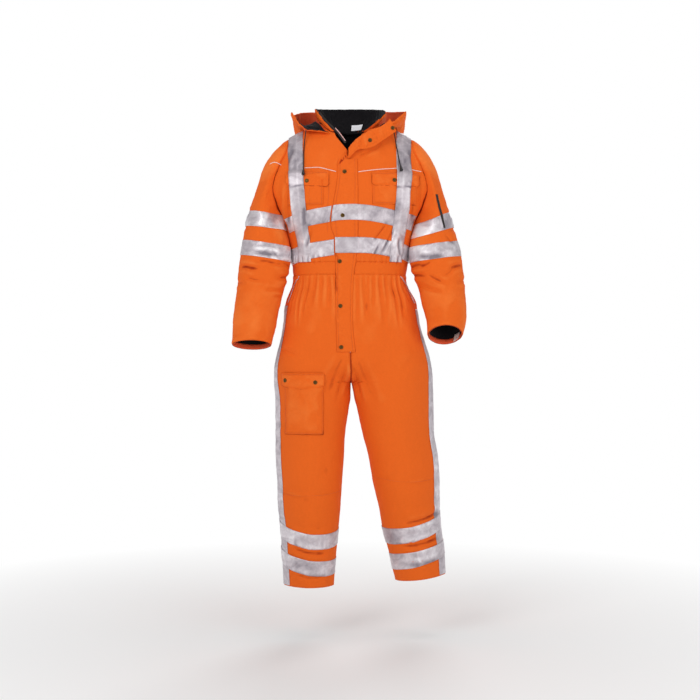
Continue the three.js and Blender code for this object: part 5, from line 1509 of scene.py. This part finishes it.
braceTables = {
    "right": table("z inner outer", [
        (20, 150, 196), (-60, 150, 198), (-130, 146, 192), (-200, 142, 187), (-300, 133, 176),
        (-345, 126, 166), (-410, 122, 162),
    ]),
    "left": table("z inner outer", [
        (20, 150, 197), (-60, 147, 194), (-130, 147, 194), (-200, 145, 188), (-260, 140, 184),
        (-345, 129, 170), (-410, 124, 164),
    ]),
}
braceLifts = table("z front back", [
    (-420, 2.6, 2.6), (-254, 2.6, 2.6), (-242, 5.0, 1.8), (-188, 5.0, 1.5), (-181, 8.2, 1.5),
    (-128, 8.2, 1.5), (-122, 4.0, 1.5), (-112, 1.5, 1.5), (60, 1.5, 1.5),
])
braceShadowZ = {"right": -174, "left": -177}


# Brace: up the front, over the shoulder by a quarter turn each way, and down the back
def braceForm(side, columns=13):
    rise = np.linspace(0, math.pi / 2, 68)
    low = np.linspace(-411, chestZ, 60, endpoint=False)
    turn = np.concatenate([0 * low, rise, rise[-2::-1], 0 * low[::-1]])
    start = np.concatenate([low, np.full(len(rise), float(chestZ)),
                            np.full(len(rise) - 1, float(chestZ)), low[::-1]])
    face = np.concatenate([np.full(len(low) + len(rise), -1), np.full(len(rise) - 1 + len(low), 1)])
    z = start.copy()
    for _ in range(4):
        inner, outer = column(braceTables[side], "inner", z), column(braceTables[side], "outer", z)
        top = shoulderZ((inner + outer) / 2)
        z = np.where(turn > 0, chestZ + (top - chestZ) * np.sin(turn), start)
    across = np.linspace(0, 1, columns)[None]
    x = signs[side] * mix(inner[:, None], outer[:, None], across)
    high = np.sin(turn)[:, None]
    height = z[:, None] + (shoulderZ(x) - top[:, None]) * high
    face = np.broadcast_to(face[:, None], x.shape)
    y = np.where(face < 0, trunkY(x, height, -1), trunkY(x, height, 1))
    return xyz(x, y, height), face


for side in sides:
    form, face = braceForm(side)
    relief = np.where(face < 0, bodyRelief(form, -1), bodyRelief(form, 1))
    z = form[..., 2]
    lift = np.where(face < 0, np.interp(z, braceLifts["z"], braceLifts["front"]),
                    np.interp(z, braceLifts["z"], braceLifts["back"]))
    across = lengths(form, 1)
    own = tapeRelief(form, 40, 0.8, 33) - tapeStitch(form, 1)[1]
    middleFold = 0.9 * np.exp(-((across - 0.42 * across[:, -1:]) / 3.2)**2)
    name = "brace_" + side
    # darker towards the shoulder, with a shadow under the pocket flap
    tone = -1.4 * smooth((z + 140) / 20) - 5 * np.exp(-((z - braceShadowZ[side]) / 2.4)**2)
    cloth(name, form, relief + lift + own + middleFold, tape, form - [0, 0, -120], "tape",
          tapeSet["thick"], tone=tone * (face < 0) - lift)

upperBandTable = table("x z", [
    (-230, -297), (-205, -294), (-140, -276), (-75, -265), (-30, -258), (40, -258), (95, -265),
    (135, -273), (200, -284), (230, -290),
])
placketStep = {"from": -61, "to": 32, "over": 5, "height": lifts["overPlacket"] - lifts["tape"]}


# How far the tape steps up where it crosses the placket
def overPlacket(x):
    rise = smooth((x - placketStep["from"]) / placketStep["over"])
    return placketStep["height"] * rise * smooth((placketStep["to"] - x) / placketStep["over"])


for side in sides:
    sign = signs[side]
    up = np.linspace(-1, 1, 18)[:, None]
    s = np.linspace(0, 1, 90)[None]
    middle = column(upperBandTable, "z", sign * 205)
    edge = sign * (panelEdge(middle + up * halfTape, side) - 5)
    free = column(placketTable, "free", -258 + up * halfTape)
    x = mix(edge, free - 4, s) if side == "right" else mix(free + 1, edge, s)
    form = onTrunk(x, column(upperBandTable, "z", x) + up * halfTape, -1)
    step = overPlacket(x) * (side == "left")
    tapeOn("band_upper_" + side, form, bodyRelief(form, -1) + (tapeOwn(form, 1.2, 35) + step),
           (0, -1, 0), tone=-step)
s = np.linspace(-1, 1, 150)[None]
s = np.sign(s) * (1 - (1 - np.abs(s))**1.4)
up = np.linspace(-1, 1, 18)[:, None]
z = -278 + up * halfTape + 0 * s
form = onTrunk(s * (panelEdge(z, "left") - 5), z, 1)
tapeOn("band_upper_back", form, bodyRelief(form, 1) + tapeOwn(form, 1.2, 36), (0, 1, 0))

lowerBandTables = {
    "right": table("x z", [(-190, -393), (-170, -388), (-125, -377), (-75, -370), (-48, -366)]),
    "left": table("x z", [(-46, -360), (60, -361), (128, -370), (170, -378), (190, -384)]),
}
angle = np.linspace(-0.197, 2 * math.pi - 0.216, 340)[None]
x = ringPoint(angle, np.full(angle.shape, -384.0))[..., 0]
middle = np.where(np.cos(angle) > 0, np.where(angle < math.pi, column(lowerBandTables["left"], "z", x),
                                              column(lowerBandTables["right"], "z", x)), -384.0)
middle = mix(-384, middle, smooth(np.cos(angle) / 0.1))
angles, z = np.broadcast_arrays(angle, middle + np.linspace(-1, 1, 12)[:, None] * halfTape)
form = ringPoint(angles, z)
relief = np.where(np.cos(angles) > 0, bodyRelief(form, -1), bodyRelief(form, 1))
step = overPlacket(form[..., 0]) * (np.cos(angles) > 0) * (angles < math.pi)
tapeOn("band_lower", form, relief + step + tapeOwn(form, 1.3, 37), "loop", tone=-step)
print("torso tape ready")


# Turn of the leg at each distance in from the side seam, found along its own arc
def turnsFromSide(side, z, distances):
    turns = np.linspace(1, 0.3, 90)
    arc = trousers(side, -1, turns[None], z[:, None])
    run = np.concatenate([np.zeros((len(z), 1)),
                          np.cumsum(np.linalg.norm(np.diff(arc, axis=1), axis=-1), 1)], 1)
    return np.stack([np.interp(distances, row, turns) for row in run])


stripeTopZ = {"right": -548, "left": -560}
stripeWidth = tapeWidth - 4
for side in sides:
    z = np.linspace(hemZ[side] + 3, stripeTopZ[side], 250)
    turns = turnsFromSide(side, z, np.linspace(0, stripeWidth, 11))
    form = trousers(side, -1, turns, z[:, None])
    own = tapeRelief(form, 40, 1.0, 38) - tapeStitch(form, 1)[1]
    tapeOn("stripe_" + side, form, bodyRelief(form, -1) + own, (signs[side] * 0.8, -0.6, 0))

legBands = {
    "right": {"upper": (-1288, -1300, -1258, -1280), "lower": (-1384, -1386, -1348, -1372)},
    "left": {"upper": (-1284, -1276, -1232, -1262), "lower": (-1366, -1356, -1330, -1350)},
}
for side in sides:
    for word, (inseam, front, outer, back) in legBands[side].items():
        turn = np.concatenate([np.linspace(0, 1, 104), np.linspace(1, 0, 84)[1:-1]])[None]
        face = np.concatenate([np.full(104, -1), np.full(82, 1)])[None]
        far = np.where(face < 0, front, back)
        middle = mix(inseam, outer, turn) + 4 * turn * (1 - turn) * (far - (inseam + outer) / 2)
        z = middle + np.linspace(-1, 1, 12)[:, None] * halfTape
        turn, face = np.broadcast_to(turn, z.shape), np.broadcast_to(face, z.shape)
        form = np.where((face < 0)[..., None], trousers(side, -1, turn, z), trousers(side, 1, turn, z))
        relief = np.where(face < 0, bodyRelief(form, -1), bodyRelief(form, 1))
        over = smooth((turn - 0.68) / 0.03) * (face < 0)
        tapeOn("leg_band_" + word + "_" + side, form, relief + over * 1.1 + tapeOwn(form, 1.5, 39),
               "loop", closed=True, on=["stripe_" + side])
print("leg tape ready")


# Place on a sleeve's own lines at given heights, with the sleeve's relief there
def alongSleeve(side, z):
    form, relief = sleeves[side]["form"], sleeves[side]["relief"]
    lines = [[np.interp(-z[:, j], -form[:, j, 2], values[:, j]) for j in range(form.shape[1])]
             for values in (form[..., 0], form[..., 1], relief)]
    x, y, height = (np.stack(line, 1) for line in lines)
    return xyz(x, y, z), height


# Outer and inner heights of each band. The upper ones are above the underarm, so they are open
# strips that reach this far round the arm, in radians, and keep below the armhole seam.
sleeveBands = {
    "right": {"upper": (-268, -284, 3.0), "lower": (-362, -386, None)},
    "left": {"upper": (-272, -314, 3.0), "lower": (-366, -388, None)},
}
seamClear = 2.0
for side in sides:
    angle = sleeves[side]["angle"][0]
    turned = np.where(angle > math.pi, angle - 2 * math.pi, angle)
    for word, (outer, inner, reach) in sleeveBands[side].items():
        picked = np.arange(len(angle))
        if reach is not None:
            picked = np.roll(picked, len(angle) // 2)
            picked = picked[np.abs(turned[picked]) < reach]
        middle = mix(inner, outer, (1 + np.cos(angle)) / 2)[None]
        low, high = middle - halfTape, middle + halfTape
        if reach is not None:
            high = np.minimum(high, sleeves[side]["form"][:1, :, 2] - seamClear)
        form, relief = alongSleeve(side, mix(low, high, np.linspace(0, 1, 14)[:, None]))
        form, relief = form[:, picked], relief[:, picked]
        tapeOn("sleeve_band_" + word + "_" + side, form, relief + tapeOwn(form, 1.5, 40), "loop",
               closed=reach is None, on=["sleeve_" + side])


# Place on the front of a sleeve in the front view
def onSleeve(side, x, z, lift):
    form = sleeves[side]["form"]
    half = sleeves[side]["angle"][0] < math.pi
    points, height = alongSleeve(side, np.broadcast_to(z[:, None], (len(z), form.shape[1])))
    normals = outward(points, "loop", True)
    raised = (points + normals * (height + lift)[..., None])[:, half]
    out = np.abs(points[:, half, 0])
    order = out[0].argsort()
    return np.stack([[np.interp(abs(a), out[i, order], raised[i, order, k]) for k in range(3)]
                     for i, a in enumerate(x)])


# Pocket zip on the wearer's left upper sleeve, over the band
sleeveZip = {"top": (275, -196), "bottom": (299, -303), "width": 7.0, "lift": 2.6}
t = np.linspace(0, 1, 60)
zipX, zipZ = (mix(sleeveZip["top"][k], sleeveZip["bottom"][k], t) for k in (0, 1))
strip = [onSleeve("left", zipX + k * sleeveZip["width"], zipZ, sleeveZip["lift"] - abs(k) * 1.2)
         for k in np.linspace(-0.5, 0.5, 7)]
form = np.stack(strip, 1)
cloth("sleeve_zip", form, 0.0, zipCloth, (0, -1, 0), "zip", 0.8)
teeth("sleeveZipTeeth", evenly(form[:, 3], openingSet["pitch"]), np.array([0.1, -1.0, 0]), zipMetal)

# Small bare tab on the lining inside the back of the wearer's left cuff
cuffTab = {"in": 6.0, "rows": 6, "halfColumns": 4, "thick": 0.6}
middle = sum(np.array(corner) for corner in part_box("cuff_tab")) / 2 / mm
form, relief = sleeves["left"]["form"], sleeves["left"]["relief"]
last = (form + outward(form, "loop", True) * (relief - cuffTab["in"])[..., None])[-cuffTab["rows"]:]
nearest = np.linalg.norm(last[-1] - middle, axis=-1).argmin()
form = last[:, nearest - cuffTab["halfColumns"]:nearest + cuffTab["halfColumns"] + 1]
cloth("cuff_tab", form, 0.0, piping, (0, -1, 0), "tape", cuffTab["thick"])
print("sleeve tape ready")


# Neck label on the lining at the back of the neck, left bare
label = {"along": (5.16, 5.9), "up": (0.05, 0.3), "in": 7.0, "thick": 0.5}
u, up = np.broadcast_arrays(np.linspace(*label["along"], 20)[None],
                            np.linspace(*label["up"], 14)[:, None])
form = collarForm(u, up)
form = form - outward(form, (0, 1, 0)) * label["in"]
cloth("neck_label", form, 0.3 * unevenness(form[..., 0], form[..., 2], 12, 71), labelCloth,
      (0, -1, 0), "label", label["thick"])


# Press studs: a domed cap with a sunk ring, set down on the cloth

studForm = {"profile": [(0, 2.4), (1.6, 2.5), (2.3, 2.3), (2.8, 1.7), (3.3, 2.3), (4.2, 2.8),
                        (5.2, 2.6), (6.1, 1.8), (6.5, 0.8), (6.4, -0.4)],
            "around": 30, "raised": 0.5, "thighLift": 3.4, "flapEndLift": 1.2}
studs = [("placket_1", -17, -130), ("placket_2", -23, -268), ("placket_3", -32, -411),
         ("placket_4", -30, -552), ("placket_5", -27, -681), ("chest_right", -135, -158),
         ("chest_left", 139, -156), ("thigh_1", -200, -786), ("thigh_2", -110, -794)]


# Surface of revolution: each profile point turned round the normal
def stud(name, place, normal):
    profile = through(studForm["profile"], 34)
    turn = np.arange(studForm["around"]) * 2 * math.pi / studForm["around"]
    side = unit(np.cross(normal, [0.2, 0.1, 1]))
    up = np.cross(normal, side)
    ring = np.cos(turn)[:, None] * side + np.sin(turn)[:, None] * up
    points = place + profile[:, :1, None] * ring[None] + profile[:, 1:, None] * normal
    piece = gridObject(camel(name) + "Cap", points, np.broadcast_to(normal, points.shape), brass, True)
    weld = piece.modifiers.new("pole", "WELD")
    weld.merge_threshold = 0.00001
    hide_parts(name)


for name, x, z in studs:
    lift = lifts["placket"] if "placket" in name else lifts["flap"]
    if name == "placket_2":  # on the tape that crosses the placket
        lift = lifts["overPlacket"]
    if "thigh" in name:
        lift = lift + studForm["thighLift"]
    place, normal = frontSurface(np.array(x), np.array(z), lift + studForm["raised"])
    stud("snap_" + name, place, normal)
for n in (1, 2):
    middle = sum(np.array(corner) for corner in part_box("snap_flap_" + str(n))) / 2 / mm
    surface = flapEnd["form"] + [0, -1, 0] * (flapEnd["relief"] + studForm["flapEndLift"])[..., None]
    away = np.hypot(surface[..., 0] - middle[0], surface[..., 2] - middle[2])
    i, j = np.unravel_index(away.argmin(), away.shape)
    stud("snap_flap_" + str(n), np.array([middle[0], surface[i, j, 1], middle[2]]),
         unit(np.array([0.05, -1, 0.02])))
print("studs ready")


# Pale piping: thin cords sewn into the yoke, sleeve and hip seams

pipingRoutes = {
    "yokeRight": [(-143, -115), (-119, -115), (-95, -116), (-63, -124), (-44, -129)],
    "yokeLeft": [(26, -130), (52, -126), (79, -123), (115, -119), (152, -116), (190, -118),
                 (226, -122)],
}
pipingSet = {"yoke": 1.15, "sleeve": 1.1, "hip": 1.8, "hipRight": 1.3, "hipShadow": 1.2, "step": 3.0,
             "shadowAside": 4.5}
for name, route in pipingRoutes.items():
    points, normals = frontLine(through(route, 40), 1.0, pipingSet["step"])
    tubeObject(name + "Piping", points, pipingSet["yoke"], piping)
# On the sleeve the depth is a mean of the cloth's, weighted by nearness in the front view
route = through([(-256, -95), (-240, -91), (-219, -100), (-199, -112)], 40)
form, relief = sleeves["right"]["form"], sleeves["right"]["relief"]
raised = form + outward(form, "loop", True) * relief[..., None]
raised = raised[1:, sleeves["right"]["angle"][0] < math.pi].reshape(-1, 3)
near = 1 / (((raised[None, :, [0, 2]] - route[:, None])**2).sum(-1) + 4)**3
depth = (near * raised[:, 1]).sum(1) / near.sum(1)
tubeObject("sleevePiping", xyz(route[:, 0], depth - 1.2, route[:, 1]), pipingSet["sleeve"], piping)
route = through([(161, -455), (181, -482), (193, -510), (206, -540)], 40)
points, normals = frontLine(route, 0.8, pipingSet["step"])
tubeObject("hipPiping", points, pipingSet["hip"], tape)
# A dark tube beside the hip piping, sunk into the cloth: painted shade along the hip pocket's edge
points, normals = frontLine(route - [pipingSet["shadowAside"], 0], -0.4, pipingSet["step"])
tubeObject("hipPocketShadow", points, pipingSet["hipShadow"], threadAndShadow)
route = through([(-161, -455), (-178, -482), (-188, -510), (-198, -538)], 40)
points, normals = frontLine(route, 0.8, pipingSet["step"])
tubeObject("hipPipingRight", points, pipingSet["hipRight"], tape)


# Rows of stitches along the seams, pockets, flaps and tape

# A stitch on every point of each route, turned to the route and to the cloth
def frontStitches(name, routes, lift):
    for k, route in enumerate(routes):
        points, normals = frontLine(route, lift)
        along = unit(np.gradient(points, axis=0))
        across = unit(np.cross(normals, along))
        stampObject(f"{name}{k + 1}", stitchForm["corners"], stitchForm["faces"], points, along, across,
                    unit(np.cross(along, across)), threadAndShadow)


placketLines = []
for share, first, last in (("sewnStitch", -92, -692), ("freeStitch", -104, -690)):
    heights = (first, -160, -250, -330, -412, -470, -560, -640, last)
    placketLines.append([(mix(column(placketTable, "free", z), column(placketTable, "stitched", z),
                              placketSet[share]), z) for z in heights])
frontStitches("placketStitches", placketLines, lifts["placket"] + 0.2)
frontStitches("zipStitches", [[(-66, -150), (-67, -200), (-72, -260), (-70, -316)]], 0.6)
for side in sides:
    x0, x1, z0, z1 = chestPockets[side]
    frontStitches("chestPocketStitches" + side.capitalize(),
                  [[(x0 + 5, z1 - 28), (x0 + 5, z0 + 5)], [(x0 + 5, z0 + 5), (x1 - 5, z0 + 5)],
                   [(x1 - 5, z0 + 5), (x1 - 5, z1 - 28)]], lifts["pocket"] + 1.2)
    x0, x1, inner, outer, top = chestFlaps[side]
    frontStitches("chestFlapStitches" + side.capitalize(),
                  [[(x0 + 6, top - 5), (x1 - 6, top - 5)]], lifts["flap"] + 1.0)
frontStitches("penStitches", [[(-127, -182), (-127, -230)]], lifts["pocket"] + 1.3)
frontStitches("thighStitches", [[(-201, -816), (-201, -953)], [(-201, -953), (-89, -953)],
                                [(-89, -953), (-89, -818)]], lifts["pocket"] + 3.2)
frontStitches("thighFlapStitches", [[(-209, -768), (-87, -768)]], lifts["flap"] + 3.4)
frontStitches("kneeStitches", [[(-232, -1148), (-180, -1152), (-90, -1150), (-32, -1142)],
                               [(286, -1098), (230, -1106), (160, -1106), (88, -1098)]], 0.4)
print("trims ready")


# Studio: a pale floor, two broad soft lights in front, one above and one behind, and an even world
# that the camera sees as white

studio = {"floorZ": -1.62, "half": 40.0, "world": 0.43, "seen": 1.0, "glowFrom": 1.7, "glowTo": 2.6,
          "lamps": [("key", (-2.4, -3.8, 1.8), 2.4, 68), ("fill", (2.8, -3.6, 0.4), 2.8, 42),
                    ("top", (0.2, -0.4, 3.2), 2.0, 22), ("back", (0.8, 3.4, 1.6), 2.4, 60)]}


# A square light that faces the middle of the suit
def aimed(name, place, size, power):
    data = bpy.data.lights.new(name, "AREA")
    data.size = size
    data.energy = power
    lamp = bpy.data.objects.new(name, data)
    lamp.location = place
    lamp.rotation_euler = (Vector((0, 0, -0.7)) - Vector(place)).to_track_quat("-Z", "Y").to_euler()
    scene.collection.objects.link(lamp)


paper, tree, shader = newMaterial("studioPaper")
shader.inputs["Base Color"].default_value = (0.92, 0.92, 0.92, 1)
shader.inputs["Roughness"].default_value = 0.95
shader.inputs["Specular IOR Level"].default_value = 0.0
# The floor's own glow grows with the distance from the suit, so that it runs on into the white world
place = node(tree, "TexCoord").outputs["Object"]
away = node(tree, "VectorMath", {0: place}, operation="LENGTH").outputs["Value"]
glow = node(tree, "MapRange", {"Value": away}, in_From_Min=studio["glowFrom"],
            in_From_Max=studio["glowTo"])
white = node(tree, "Emission")
white.inputs["Strength"].default_value = studio["seen"]
blend = node(tree, "MixShader", {0: glow.outputs[0], 1: shader.outputs[0], 2: white.outputs[0]})
tree.links.new(blend.outputs[0], tree.nodes["Material Output"].inputs["Surface"])
floorMesh = bpy.data.meshes.new("floor")
half, floorZ = studio["half"], studio["floorZ"]
corners = [(x, y, floorZ) for x, y in ((-half, -half), (half, -half), (half, half), (-half, half))]
floorMesh.from_pydata(corners, [], [(0, 1, 2, 3)])
floorMesh.materials.append(paper)
floor = bpy.data.objects.new("floor", floorMesh)
scene.collection.objects.link(floor)
for name, place, size, power in studio["lamps"]:
    aimed(name, place, size, power)
world = bpy.data.worlds.new("studio")
world.use_nodes = True
tree = world.node_tree
sky = tree.nodes["Background"]
sky.inputs["Color"].default_value = (1, 1, 1, 1)
seen = node(tree, "LightPath").outputs["Is Camera Ray"]
strength = node(tree, "MapRange", {"Value": seen}, in_To_Min=studio["world"], in_To_Max=studio["seen"])
tree.links.new(strength.outputs[0], sky.inputs["Strength"])
scene.world = world
scene.view_settings.view_transform = "Standard"
print("studio ready")
